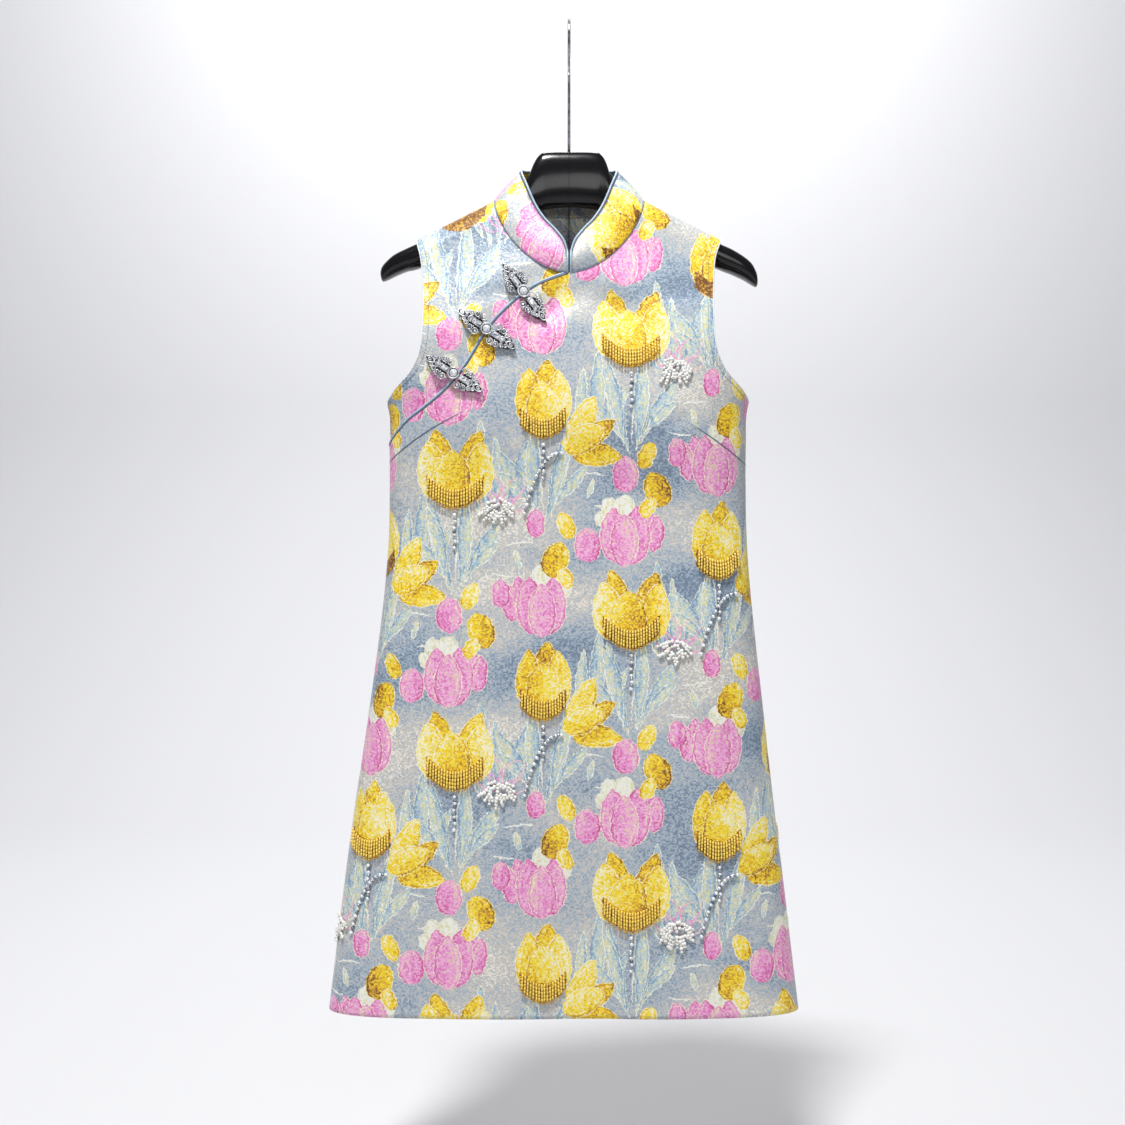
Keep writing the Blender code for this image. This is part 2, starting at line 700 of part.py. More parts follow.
def add_wing(name, frog, wing, material, group):
    """One half of a frog: a scalloped plate with a raised middle, its underside along the cloth."""
    slant = math.radians(FROGS.slant[frog])
    way = np.array([math.cos(slant), -math.sin(slant)]) * wing
    across = np.array([math.sin(slant), math.cos(slant)])
    half = (FROGS.length[frog] / 2 - FROG_START) / 2
    middle = np.array([FROGS.x[frog], FROGS.z[frog]]) + way * (FROG_START + half)
    places = [(0.0, 0.0)]
    for ring in FROG_RINGS:
        for k in range(FROG_SPOKES):
            along, aside = frog_outline(2 * math.pi * k / FROG_SPOKES)
            places.append((along * ring * half, aside * ring * FROGS.width[frog] / 2))
    spots, count = [], len(places)
    crown = [FROG_CROWN]
    for ring in FROG_RINGS:
        crown += [FROG_CROWN * (1 - ring) ** 0.5] * FROG_SPOKES
    for is_top in (True, False):
        for (along, aside), rise in zip(places, crown):
            x, z = middle + way * along + across * aside
            lift = FROG_TOP + rise if is_top else wing_level(x, z, wing)
            spots.append(cloth(t_at_x(x, z), z, "front", lift))
    faces = []
    for layer in (0, count):
        for k in range(FROG_SPOKES):
            after = (k + 1) % FROG_SPOKES
            face = [(layer, layer + 1 + k, layer + 1 + after)]
            for ring in range(len(FROG_RINGS) - 1):
                a, b = layer + 1 + ring * FROG_SPOKES + k, layer + 1 + ring * FROG_SPOKES + after
                face.append((a, a + FROG_SPOKES, b + FROG_SPOKES, b))
            faces += [f if layer == 0 else f[::-1] for f in face]
    rim = 1 + (len(FROG_RINGS) - 1) * FROG_SPOKES
    for k in range(FROG_SPOKES):
        after = (k + 1) % FROG_SPOKES
        faces.append((rim + k, count + rim + k, count + rim + after, rim + after))
    wing_object = add_mesh(name, spots, faces, material, group)
    point_out(wing_object)


def point_out(thing):
    """Turns all faces of a closed mesh outward."""
    shape = bmesh.new()
    shape.from_mesh(thing.data)
    bmesh.ops.recalc_face_normals(shape, faces=shape.faces)
    shape.to_mesh(thing.data)
    shape.free()


def add_turned(name, profile, steps, matrix, material, group):
    """A profile of radius and height, run down its outer side and turned about Z."""
    spots = [(radius, 0.0, height) for radius, height in zip(profile.radius, profile.height)]
    spots.append((0.0, 0.0, profile.height[-1]))
    mesh = bpy.data.meshes.new(name)
    mesh.from_pydata(spots, [(k, k + 1) for k in range(len(spots) - 1)], [])
    mesh.materials.append(material)
    thing = bpy.data.objects.new(name, mesh)
    group.objects.link(thing)
    turn = thing.modifiers.new("Turn", "SCREW")
    turn.angle = math.tau
    turn.steps = turn.render_steps = steps
    turn.use_merge_vertices = True
    turn.merge_threshold = SAME_PLACE
    thing.matrix_world = matrix
    return thing


def add_frogs(metal, stone, group):
    for frog in range(len(FROGS.x)):
        for word, wing in (("upper", -1), ("lower", 1)):
            add_wing(f"frog_{frog + 1}_{word}_wing", frog, wing, metal, group)
        x, z = FROGS.x[frog], FROGS.z[frog]
        t = t_at_x(x, z)
        seat, above = cloth(t, z, "front", BUTTON_SEAT), cloth(t, z, "front", BUTTON_SEAT + AHEAD)
        turn = (Vector(above) - Vector(seat)).to_track_quat("Z", "Y").to_matrix().to_4x4()
        place = Matrix.Translation(Vector(seat)) @ turn
        add_turned(f"frog_{frog + 1}_button", BUTTON_PROFILE, BUTTON_SIDES, place, stone, group)


# Bead fringes


def cup_places(side):
    """Middles of the fringes' roots on one side, along the cloth and by height, with the kind of each."""
    mirror = 1 if side == "front" else -1
    places = []
    for column in range(-2, 3):
        for row in range(-2, 3):
            u = FIRST_CUP[0] + column * REPEAT_ACROSS
            z = FIRST_CUP[1] - row * REPEAT_DOWN - (column % 2) * REPEAT_DOWN / 2
            places.append((u * mirror, z, OPEN_CUP))
            places.append(((u + SECOND_CUP_STEP[0]) * mirror, z + SECOND_CUP_STEP[1], ROUND_CUP))
    return sorted(place for place in places if has_room(*place, side))


def has_room(u, z, kind, side):
    """Whether a fringe fits on the cloth there, below the armholes and clear of the edges."""
    if z > FRINGE_TOP_Z or z - FRINGES.length[kind] < HEM_Z + HEM_CLEARANCE:
        return False
    left, right = side_room(z, side)
    reach = FRINGES.half[kind] + FRINGE_CLEARANCE
    clear_of_seam = side == "front" or abs(u) > FRINGES.half[kind] + SEAM_EASE
    beside_armhole = z + FRINGES.arc[kind] > UNDERARM_Z
    clear_of_armhole = abs(u) < CHEST_REACH or not beside_armhole
    return -left + reach < u < right - reach and clear_of_seam and clear_of_armhole


def add_fringe(name, place, side, material, group):
    """Strands side by side, their roots fused into a strip that curves like the foot of a cup."""
    middle_u, middle_z, kind = place
    half, strands = FRINGES.half[kind], int(FRINGES.strands[kind])
    pitch = 2 * half / strands
    knots = []
    for k in range(strands):
        centre = -half + (k + 0.5) * pitch
        knots += [centre - pitch * STRAND_SHARE / 2, centre + pitch * STRAND_SHARE / 2]
    flat = []
    for u in knots:
        share = (u / half) ** 2
        root = FRINGES.arc[kind] * share
        tip = root - FRINGES.length[kind] * (1 - END_SHORTER * share)
        flat += [(u, root + FRINGE_STRIP), (u, root), (u, tip)]
    u = np.array([spot[0] for spot in flat]) + middle_u
    z = np.array([spot[1] for spot in flat]) + middle_z
    spots = cloth(along_cloth(u, z, side), z, side, REST_GAP)
    faces = []
    for k in range(len(knots) - 1):
        a, b = 3 * k, 3 * (k + 1)
        faces.append((a, a + 1, b + 1, b))
        if k % 2 == 0:
            faces.append((a + 1, a + 2, b + 2, b + 1))
    if side == "back":
        faces = [face[::-1] for face in faces]
    fringe = add_mesh(name, spots, faces, material, group)
    solidify(fringe, FRINGE_THICKNESS, 1.0)


def add_fringes(material, group):
    for side in ("front", "back"):
        for number, place in enumerate(cup_places(side), 1):
            add_fringe(f"fringe_{side}_{number:02d}", place, side, material, group)


# Hanger


def add_hanger(material, group):
    """A lofted arch with round sections, closed at both tips."""
    spots = []
    for x, top, bottom, half_depth in zip(HANGER.x, HANGER.top, HANGER.bottom, HANGER.half_depth):
        for k in range(HANGER_RING):
            angle = math.tau * (k + 0.5) / HANGER_RING
            cosine, sine = math.cos(angle), math.sin(angle)
            y = math.copysign(abs(cosine) ** (2 / HANGER_ROUNDNESS), cosine) * half_depth
            rise = math.copysign(abs(sine) ** (2 / HANGER_ROUNDNESS), sine) * (top - bottom) / 2
            z = (top + bottom) / 2 + rise
            spots.append((x, y, z))
    faces = []
    for i in range(len(HANGER.x) - 1):
        for k in range(HANGER_RING):
            a, b = i * HANGER_RING + k, i * HANGER_RING + (k + 1) % HANGER_RING
            faces.append((a, b, b + HANGER_RING, a + HANGER_RING))
    last = len(spots) - HANGER_RING
    faces.append(tuple(range(HANGER_RING)))
    faces.append(tuple(range(last, last + HANGER_RING)))
    hanger = add_mesh("hanger_body", spots, faces, material, group)
    point_out(hanger)


def add_hook(material, group):
    """A wire that rises from the hanger, swings out and bends over the origin."""
    centre_z = WIRE_RADIUS - HOOK_RADIUS
    bend_foot = centre_z - HOOK_RADIUS
    path = [(0.0, 0.0, z) for z in (HOOK_FOOT_Z, (HOOK_FOOT_Z + bend_foot) / 2, bend_foot - STEM_TOP_GAP)]
    start = np.array([0.0, bend_foot - SWING_START_GAP])
    for k in range(1, SWING_STEPS):
        share = k / SWING_STEPS
        angle = math.radians(SWING_ANGLES[0] + (SWING_ANGLES[1] - SWING_ANGLES[0]) * share)
        bend = np.array([math.cos(angle), math.sin(angle)]) * HOOK_RADIUS + (0, centre_z)
        path.append((0.0, *(start * (1 - smooth_step(share)) + bend * smooth_step(share))))
    for angle in np.radians(np.linspace(*BEND_ANGLES, BEND_STEPS + 1)):
        path.append((0.0, math.cos(angle) * HOOK_RADIUS, centre_z + math.sin(angle) * HOOK_RADIUS))
    add_cord("hanger_hook", path, WIRE_RADIUS, material, group, sides=WIRE_SIDES)


def build():
    clear_scene()
    group = make_collection("Cheongsam dress on a hanger")
    brocade = make_material("Brocade", (0.50, 0.56, 0.64), 0.45)
    piping = make_material("Piping satin", (0.55, 0.66, 0.76), 0.40)
    binding = make_material("Binding", (0.85, 0.86, 0.88), 0.55)
    gold = make_material("Gold beads", (0.62, 0.42, 0.10), 0.30, 0.6)
    silver = make_material("Antique silver", (0.52, 0.54, 0.57), 0.30, 1.0)
    pearl = make_material("Pearl", (0.86, 0.86, 0.88), 0.18)
    plastic = make_material("Black hanger plastic", (0.010, 0.010, 0.012), 0.22)
    steel = make_material("Hook steel", (0.45, 0.45, 0.47), 0.28, 1.0)

    add_front_panel(brocade, group)
    add_under_piece(brocade, group)
    add_back_panels(brocade, group)
    for sign in (-1, 1):
        add_collar(sign, brocade, group)
        add_collar_cord(sign, piping, group)
        add_armhole_binding(sign, binding, group)
    add_opening_cord(piping, group)
    add_frogs(silver, pearl, group)
    add_fringes(gold, group)
    add_hanger(plastic, group)
    add_hook(steel, group)


build()
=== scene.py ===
"""The looks of a sleeveless cheongsam dress on its hanger, built round the packed CAD model.

Metres, +Z up, front towards -Y, origin on the inside of the hook. The cloth's surface functions and tables
are those of the CAD model, read here on a finer grid and with finer creases. A spot of the cloth is given
by its angle t round the front or the back, from -pi/2 at one side seam to pi/2 at the other, and its height
z. A spot of the print is given by its length u along the cloth from the middle of its side, and z.
"""

import math
from types import SimpleNamespace

import bpy
import numpy as np
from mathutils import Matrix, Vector


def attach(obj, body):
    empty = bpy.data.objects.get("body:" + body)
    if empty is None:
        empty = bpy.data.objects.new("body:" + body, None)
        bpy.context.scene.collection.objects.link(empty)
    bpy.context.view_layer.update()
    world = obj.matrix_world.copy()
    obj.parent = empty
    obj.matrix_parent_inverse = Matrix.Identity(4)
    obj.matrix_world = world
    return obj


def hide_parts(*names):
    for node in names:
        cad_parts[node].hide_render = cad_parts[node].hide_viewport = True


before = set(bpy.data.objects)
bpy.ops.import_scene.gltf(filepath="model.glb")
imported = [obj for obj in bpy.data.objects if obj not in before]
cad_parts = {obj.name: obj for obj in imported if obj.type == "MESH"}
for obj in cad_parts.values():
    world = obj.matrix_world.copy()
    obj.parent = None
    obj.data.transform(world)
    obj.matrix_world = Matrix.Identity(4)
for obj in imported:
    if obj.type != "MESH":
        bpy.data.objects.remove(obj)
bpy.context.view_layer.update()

MM = 0.001


def table(text):
    """A written table, as one array of numbers for each column that its first line names."""
    heading, *rows = text.strip().splitlines()
    numbers = np.array([row.split() for row in rows], float)
    return SimpleNamespace(**dict(zip(heading.split(), numbers.T)))


def metres(text):
    """A table whose lengths are written in mm. Its angles, in degrees, and its counts stay as they are."""
    found = table(text)
    for name, column in vars(found).items():
        if name not in ("angle", "slant", "strands"):
            column *= MM
    return found


# Cloth and seams, as in the CAD model
WALL = 0.0016
SEAM_EASE = 0.00015  # closer than in the CAD model, as a sewn seam is
SEAM_GAP = 0.0003
LAP_WIDTH = 0.020
LAP_DEPTH = WALL + 0.0008
LAP_FLAT = 0.004
LAP_BLEND = 0.024
EDGE_RADIUS = 0.0012
BINDING_RADIUS = 0.0008
EDGE_GAP = 0.0004
REST_GAP = 0.0005

# Heights of the cut
HEM_Z = -1.043
UNDERARM_Z = -0.4075
SHOULDER_TIP_Z = -0.232
NECK_POINT_Z = -0.191
FRONT_NECK = (0.0828, 1.8, 0.62)  # drop below the neck points, and the two powers of the curve
BACK_NECK = (0.012, 2.0, 0.7)
NECK_HALF = 0.079
SHOULDER_HALF = 0.160
TOP_LIMIT_Z = -0.150  # above every edge

# How the cloth rounds the hanger and the sides
HANG_DEPTH = 0.022
HANG_DROP = 0.022
FALL_LENGTH = 0.125
SECTION_POWER = 5.0
SECTION_SHARE = 0.4

BODY = metres("""
z left right front back
-1043 -253.5 242.5 48 46
-985 -246.5 235.5 47.5 45.5
-911 -237.5 226.8 47 45
-826 -225.8 216.2 46.5 44
-741 -213 206.7 46 43
-656 -201.4 197.2 45 42
-600 -194.8 191.5 44 41
-550 -190.8 188 43.5 40.5
-500 -189.7 186.8 45 40
-450 -189.9 187 49 40
-407.5 -191.9 189.5 50 40
-360 -215 213 48 40
-300 -270 270 43 38.5
-232 -330 330 38 35
-150 -360 360 34 32
""")

ARMHOLE = metres("""
z left right
-407.5 -191.9 189.5
-402 -186.8 186
-394 -180 179.2
-379.5 -165.5 164.8
-363.6 -156.2 155.2
-345.6 -151.8 150.2
-321.2 -150.5 148.8
-287.3 -150.8 149.5
-253.3 -154.5 152
-232 -160.5 159.6
""")

# The slanted front edge, from the left side seam up to the middle of the neck
OPENING = metres("""
x z
-220 -476
-190 -450
-177.8 -436.6
-166.5 -425.8
-148.2 -413
-129.3 -397.5
-116.8 -384.6
-102.5 -364.5
-88.9 -341
-78.6 -326.2
-64.1 -310.8
-48.7 -297.2
-33.2 -286.8
-14.7 -279
0 -273.8
""")

# Soft dents and swells: place, size, the slant of the long way, depth outward. The first rows of each side
# are the CAD model's, and the finer creases that follow are only here.
FOLDS = {
    "front": metres("""
x z length width slant depth
35 -485 70 30 -50 -3.5
-90 -300 45 12 20 -1.8
118 -292 45 11 8 -1.8
-10 -300 28 12 65 -1.2
-98 -425 45 40 0 3
102 -432 45 40 0 3
-80 -900 240 50 96 2.2
20 -930 220 40 90 -2.4
115 -880 260 45 84 2.2
165 -520 60 22 75 -2
15 -462 60 10 -38 -1.1
62 -520 50 9 -62 0.9
-95 -314 30 6 24 0.8
124 -306 34 6 4 0.8
-118 -246 40 9 30 0.7
90 -252 50 10 -34 -0.8
18 -292 22 5 55 -0.6
1.5 -335 40 3.2 91 -1.4
-18 -312 22 14 30 -4.2
48 -308 34 15 -24 -4.8
-11 -296 16 11 20 -1.6
-90 -415 14 7 -50 -0.9
114 -428 14 7 40 -0.9
-160 -560 70 12 78 -1
148 -640 110 14 97 0.9
-50 -690 120 16 80 -0.8
-185 -880 130 15 99 -0.9
70 -790 110 14 92 0.8
190 -930 90 12 83 -0.9
-18 -560 45 10 -20 0.6
"""),
    "back": metres("""
x z length width slant depth
-100 -900 240 50 97 3
0 -920 260 45 90 -3
105 -900 240 50 83 3
-90 -270 50 9 26 -0.7
105 -282 44 8 -18 0.8
-130 -470 70 13 72 -1
138 -500 60 12 104 -0.9
-50 -600 100 14 84 0.8
70 -680 120 15 95 -0.9
180 -860 120 14 82 0.9
-175 -820 110 13 100 -0.8
"""),
}

# Angles round the neck, in degrees from the front
SIDE_ANGLE = 90.0
BACK_ANGLE = 180.0

# The collar's top edge, by the angle round the neck
COLLAR_TOP = metres("""
angle x y z
0 3.2 -40.5 -251.5
12 7.5 -38.5 -240
25 16 -34.5 -228.5
42 27 -30 -216.5
60 37.5 -24.5 -200
78 47 -16.5 -177
95 52.5 0 -161
120 48 13 -157.5
150 29 22 -156
180 0.3 25 -155.5
""")
COLLAR_FRONT_X = 0.0034
COLLAR_BOW = 0.0036  # more than in the CAD model, so that the lower half turns down
COLLAR_STEP = 0.0004
COLLAR_CUT_DROP = 0.450  # the collar is cut from this far down the cloth's print

# Frogs: middle, slant below level, whole length
FROGS = metres("""
x z slant length
-46.6 -295.5 54 74.5
-84.7 -334.3 34 70.5
-118 -380 32 68.5
""")

# Bust darts: side seam, a point on the way, tip
DARTS = metres("""
x z middle_x middle_z tip_x tip_z
-188.5 -468 -148 -439.5 -107 -418
186 -471.5 153.6 -449 127 -432.5
""")

# The hanger's outline from the front, with its half depth
HANGER = metres("""
x top bottom half_depth
-199.5 -265 -270 4
-197.5 -260 -275.5 9.5
-192 -254 -274 13.5
-184 -247.5 -270 15.5
-172 -241.5 -265 16
-157 -234.5 -261 16
-120 -216 -244 15.5
-80 -199.5 -225 14
-62 -190 -215 13
-51 -179 -208.5 12.2
-43 -164 -205.5 12.2
-37 -150 -203.5 12
-31 -141.5 -201.5 11.8
-23 -138.5 -199 11.7
0 -138 -197.2 11.7
27 -138.5 -199.2 11.7
34.5 -142 -201.8 11.8
39.5 -150 -203.5 12
44 -163.5 -205.5 12.2
51 -178.5 -208.5 12.2
62 -190 -215 13
80 -199.5 -225 14
120 -216 -244 15.5
157 -235 -262 16
172 -242 -268 16
185 -250 -274 15.5
193 -257 -279 13.5
198 -266 -281.5 9.5
199.7 -273 -279 4
""")
HANGER_RING = 36
HANGER_SECTIONS = 170
HANGER_ROUNDNESS = 2.4
MOULD_LINE_RADIUS = 0.0003

# The hook's wire, turned so that its plane is YZ
WIRE_RADIUS = 0.0016
HOOK_RADIUS = 0.0240
HOOK_FOOT_Z = -0.1376
HOOK_NECK = 0.012  # how far below the bend the straight wire ends
SWING_START = 0.010
SWING_BLEND = (0.04, 0.96)
SWING_TURN = (-60, -22)  # degrees of the bend's circle that the swing to the side closes in on
BEND_TURN = (-20, 238)  # degrees of the round bend, to the wire's free end
HOOK_STEPS = (14, 22, 56)  # points of the straight wire, the swing and the bend

# The grids of the shells
NECK_COLUMNS = 31
SHOULDER_COLUMNS = 27
SKIRT_ROWS = 128
ARMHOLE_ROWS = 64
ARMHOLE_CROWDING = (1.6, 2.8)
UNDER_ROWS = 18
COLLAR_COLUMNS = 73
COLLAR_ROWS = 15
OPENING_ROWS_Z = -0.530  # where the even rows end at the opening's side
BACK_HALF = 0.19  # of its width, about, for the gap at its seam

# Small steps for slopes, and how finely edges and lengths are found
STEP_T = 0.004
STEP_Z = 0.0004
STEP_X = 0.004
HALVINGS = 44
TAPE_ROWS = 300
TAPE_STEPS = 181
TAPE_BELOW = 0.002  # the hem

# The print's half-drop repeat, along the cloth from the middle of each side
REPEAT_ACROSS = 0.182
REPEAT_DOWN = 0.290
FIRST_CUP = (-0.118, -0.500)
SECOND_CUP_STEP = (0.091, 0.072)
MIRROR = {"front": 1, "back": -1}  # the back's print runs the other way in x
HANDS = (("left", -1), ("right", 1))  # as seen from the front, with the sign in x

# Bead fringes below the yellow tulips: an open cup's and a round cup's, with their steps from FIRST_CUP
OPEN_CUP, ROUND_CUP = 0, 1
CUPS = ((OPEN_CUP, (0.0, 0.0)), (ROUND_CUP, SECOND_CUP_STEP))
FRINGES = metres("""
half length arc strands
28.5 22.5 15 20
22.5 22.5 12 16
""")
END_SHORTER = 0.12
FRINGE_CLEARANCE = 0.008
FRINGE_TOP_Z = -0.345
HEM_CLEARANCE = 0.004
CHEST_REACH = 0.090


def curve_through(xs, ys, at):
    """Reads a smooth curve through the points (xs, ys) at each value of at."""
    rise = np.diff(ys) / np.diff(xs)
    slopes = np.concatenate([rise[:1], (rise[1:] + rise[:-1]) / 2, rise[-1:]])
    at = np.clip(at, xs[0], xs[-1])
    i = np.clip(np.searchsorted(xs, at) - 1, 0, len(xs) - 2)
    gap = xs[i + 1] - xs[i]
    u = (at - xs[i]) / gap
    near = ys[i] * (1 + 2 * u) + slopes[i] * gap * u
    far = ys[i + 1] * (3 - 2 * u) + slopes[i + 1] * gap * (u - 1)
    return near * (1 - u) ** 2 + far * u * u


def smooth_step(u):
    u = np.clip(u, 0.0, 1.0)
    return u * u * (3 - 2 * u)


def unit(vectors):
    return vectors / np.linalg.norm(vectors, axis=-1, keepdims=True)


def square_to(along, vectors):
    """Unit vectors turned square to the unit directions along."""
    return unit(vectors - along * (vectors * along).sum(-1, keepdims=True))


def directions(path, closed=False):
    """Unit directions along a path, from the neighbours of each point."""
    if closed:
        return unit(np.roll(path, -1, axis=0) - np.roll(path, 1, axis=0))
    return unit(np.gradient(path, axis=0))


def run_along(path):
    """Lengths along a path from its start."""
    steps = np.linalg.norm(np.diff(path, axis=0), axis=-1)
    return np.concatenate([np.zeros((1, *steps.shape[1:])), np.cumsum(steps, axis=0)])


def turns(count, offset=0.0):
    """Even angles round a circle."""
    return (np.arange(count) + offset) * math.tau / count


# Outline of the cut, seen from the front


def shoulder_z(x):
    slope = (NECK_POINT_Z - SHOULDER_TIP_Z) / (SHOULDER_HALF - NECK_HALF)
    return NECK_POINT_Z - (np.abs(x) - NECK_HALF) * slope


def neck_z(x, drop, spread, roundness):
    """An edge that dips between the neck points and runs down the shoulders outside them."""
    inside = 1 - np.clip(np.abs(x) / NECK_HALF, 0, 1) ** spread
    return np.where(inside > 0, NECK_POINT_Z - drop * inside**roundness, shoulder_z(x))


def front_neck_z(x):
    return neck_z(x, *FRONT_NECK)


def back_neck_z(x):
    return neck_z(x, *BACK_NECK)


def opening_z(x):
    return curve_through(OPENING.x, OPENING.z, x)


def front_top_z(x):
    """Top edge of the front panel: the slanted opening, then the neck and the right shoulder."""
    return np.where(x < 0, opening_z(x), front_neck_z(x))


def edges_at(rows, z):
    return curve_through(rows.z, rows.left, z), curve_through(rows.z, rows.right, z)


def middle_and_half(left, right):
    return (left + right) / 2, (right - left) / 2


def span_at(z):
    """The middle and half width of the cloth at height z, between the side seams, then the armholes."""
    pairs = zip(edges_at(BODY, z), edges_at(ARMHOLE, z))
    return middle_and_half(*[np.where(z <= UNDERARM_Z, seam, armhole) for seam, armhole in pairs])


def x_at(t, z):
    middle, half = span_at(z)
    return middle + half * np.sin(t)


def t_at_x(x, z):
    middle, half = span_at(z)
    return np.arcsin(np.clip((x - middle) / half, -1, 1))


# The surface of the cloth


def fold_depth(x, z, side):
    total = np.zeros(np.broadcast(x, z).shape)
    folds = FOLDS[side]
    for i, angle in enumerate(np.radians(folds.slant)):
        dx, dz = x - folds.x[i], z - folds.z[i]
        along = (dx * math.cos(angle) + dz * math.sin(angle)) / folds.length[i]
        across = (dz * math.cos(angle) - dx * math.sin(angle)) / folds.width[i]
        total += folds.depth[i] * np.exp(-(along**2) - across**2)
    return total


def depth_at(x, z, side):
    """How far the cloth stands out from the plane of the seams."""
    middle, half = middle_and_half(*edges_at(BODY, z))
    across = np.clip(np.abs(x - middle) / half, 0, 1)
    section = (1 - across**SECTION_POWER) ** SECTION_SHARE
    drop = np.maximum(shoulder_z(x) - z, 0)
    over_hanger = HANG_DEPTH * np.sqrt(1 - (1 - np.clip(drop / HANG_DROP, 0, 1)) ** 2)
    fall = smooth_step(drop / FALL_LENGTH)
    hung = over_hanger * (1 - fall) + curve_through(BODY.z, getattr(BODY, side), z) * fall
    return section * (hung + fold_depth(x, z, side) * fall)


def surface(t, z, side):
    x = x_at(t, z)
    y = SEAM_EASE + depth_at(x, z, side)
    return np.stack(np.broadcast_arrays(x, -y if side == "front" else y, z), -1)


def cloth_normal(t, z, side):
    low_t, high_t = np.maximum(t - STEP_T, -math.pi / 2), np.minimum(t + STEP_T, math.pi / 2)
    across = surface(high_t, z, side) - surface(low_t, z, side)
    up = surface(t, z, side) - surface(t, z - STEP_Z, side)
    return unit(np.cross(across, up)) * (1 if side == "front" else -1)


def cloth(t, z, side, lift=0.0):
    """Points of the cloth's outer face, moved out by lift."""
    t, z = np.broadcast_arrays(np.asarray(t, float), np.asarray(z, float))
    return surface(t, z, side) + cloth_normal(t, z, side) * np.asarray(lift)[..., None]


def column_top(t, edge):
    """The height at which each column t meets the edge z = edge(x)."""
    low, high = np.full(len(t), HEM_Z), np.full(len(t), TOP_LIMIT_Z)
    for _ in range(HALVINGS):
        middle = (low + high) / 2
        inside = middle < edge(x_at(t, middle))
        low, high = np.where(inside, middle, low), np.where(inside, high, middle)
    return (low + high) / 2


def lap_lift(t, z):
    """The under-piece's level: flush with the front away from the opening, inside it near and beyond."""
    x = x_at(t, z)
    slope = (opening_z(x + STEP_X) - opening_z(x - STEP_X)) / (2 * STEP_X)
    distance = (z - opening_z(x)) / np.sqrt(1 + slope**2)
    return -LAP_DEPTH * (1 - smooth_step((distance - LAP_FLAT) / LAP_BLEND))


class Tape:
    """Measures one side's cloth along each height, from its middle line."""

    def __init__(self, side):
        self.z = np.linspace(HEM_Z - TAPE_BELOW, TOP_LIMIT_Z, TAPE_ROWS)
        self.t = np.linspace(-math.pi / 2, math.pi / 2, TAPE_STEPS)
        self.length = run_along(surface(self.t[:, None], self.z, side)).T
        for row, middle in zip(self.length, t_at_x(0.0, self.z)):
            row -= np.interp(middle, self.t, row)

    def row(self, z):
        """The lengths at height z, for each angle of self.t."""
        at = np.interp(z, self.z, np.arange(TAPE_ROWS))
        k = min(int(at), TAPE_ROWS - 2)
        return self.length[k] + (self.length[k + 1] - self.length[k]) * (at - k)

    def each(self, read, values, z):
        """What read makes of each value, with the row of lengths at its height."""
        values, z = np.broadcast_arrays(values, z)
        found = [read(value, self.row(height)) for value, height in zip(values.ravel(), z.ravel())]
        return np.array(found).reshape(values.shape)

    def u_at(self, t, z):
        """Lengths from the middle line of the points (t, z)."""
        return self.each(lambda angle, row: np.interp(angle, self.t, row), t, z)

    def t_at(self, u, z):
        """Angles of the points that lie u along the cloth at heights z."""
        return self.each(lambda length, row: np.interp(length, row, self.t), u, z)

    def room(self, z):
        """How far the cloth reaches to the left and to the right at height z."""
        row = self.row(z)
        return -row[0], row[-1]


TAPES = {side: Tape(side) for side in MIRROR}


# Meshes, as shapes: pairs of points and faces


def in_scene(name, data):
    thing = bpy.data.objects.new(name, data)
    bpy.context.scene.collection.objects.link(thing)
    return thing


def new_mesh(name, shape, material):
    points, faces = shape
    mesh = bpy.data.meshes.new(name)
    mesh.from_pydata(np.asarray(points, float).tolist(), [], faces)
    mesh.materials.append(material)
    mesh.shade_smooth()
    mesh.update()
    return mesh


def add_piece(mesh, slot, *nodes):
    """Adds a mesh under its own name, as a piece that stands for the CAD nodes given."""
    piece = in_scene(mesh.name, mesh)
    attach(piece, "root")
    if nodes:
        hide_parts(*nodes)
    return piece


def set_pattern(mesh, spots):
    """Stores each vertex's place in the print as the UV map that the brocade reads."""
    layer = mesh.uv_layers.new(name="pattern")
    corners = np.zeros(len(mesh.loops), np.int32)
    mesh.loops.foreach_get("vertex_index", corners)
    layer.uv.foreach_set("vector", np.asarray(spots, np.float32)[corners].ravel())


def grid_faces(columns, rows, flip):
    faces = []
    for i in range(columns - 1):
        for j in range(rows - 1):
            a, b = i * rows + j, (i + 1) * rows + j
            face = (a, b, b + 1, a + 1)
            faces.append(face[::-1] if flip else face)
    return faces


def ring_faces(count, sides, closed=False):
    """Faces between count rings of points that follow one another."""
    faces = []
    for i in range(count if closed else count - 1):
        low, high = i * sides, (i + 1) % count * sides
        for k in range(sides):
            after = (k + 1) % sides
            faces.append((low + k, low + after, high + after, high + k))
    return faces


def rod_faces(count, sides):
    """Faces of a run of rings, with flat ends."""
    last = (count - 1) * sides
    return ring_faces(count, sides) + [tuple(range(sides))[::-1], tuple(range(last, last + sides))]


def dome(rings, tip):
    """A run of rings that ends in one more point."""
    count, sides = len(rings), len(rings[0])
    last = (count - 1) * sides
    cap = [(last + k, last + (k + 1) % sides, last + sides) for k in range(sides)]
    return np.concatenate([*rings, [tip]]), ring_faces(count, sides) + cap


def rings_round(along, out, sides):
    """Rings of unit vectors square to the directions along, each starting towards out."""
    out = square_to(along, out)
    angle = turns(sides)[:, None]
    return out[:, None] * np.cos(angle) + np.cross(along, out)[:, None] * np.sin(angle)


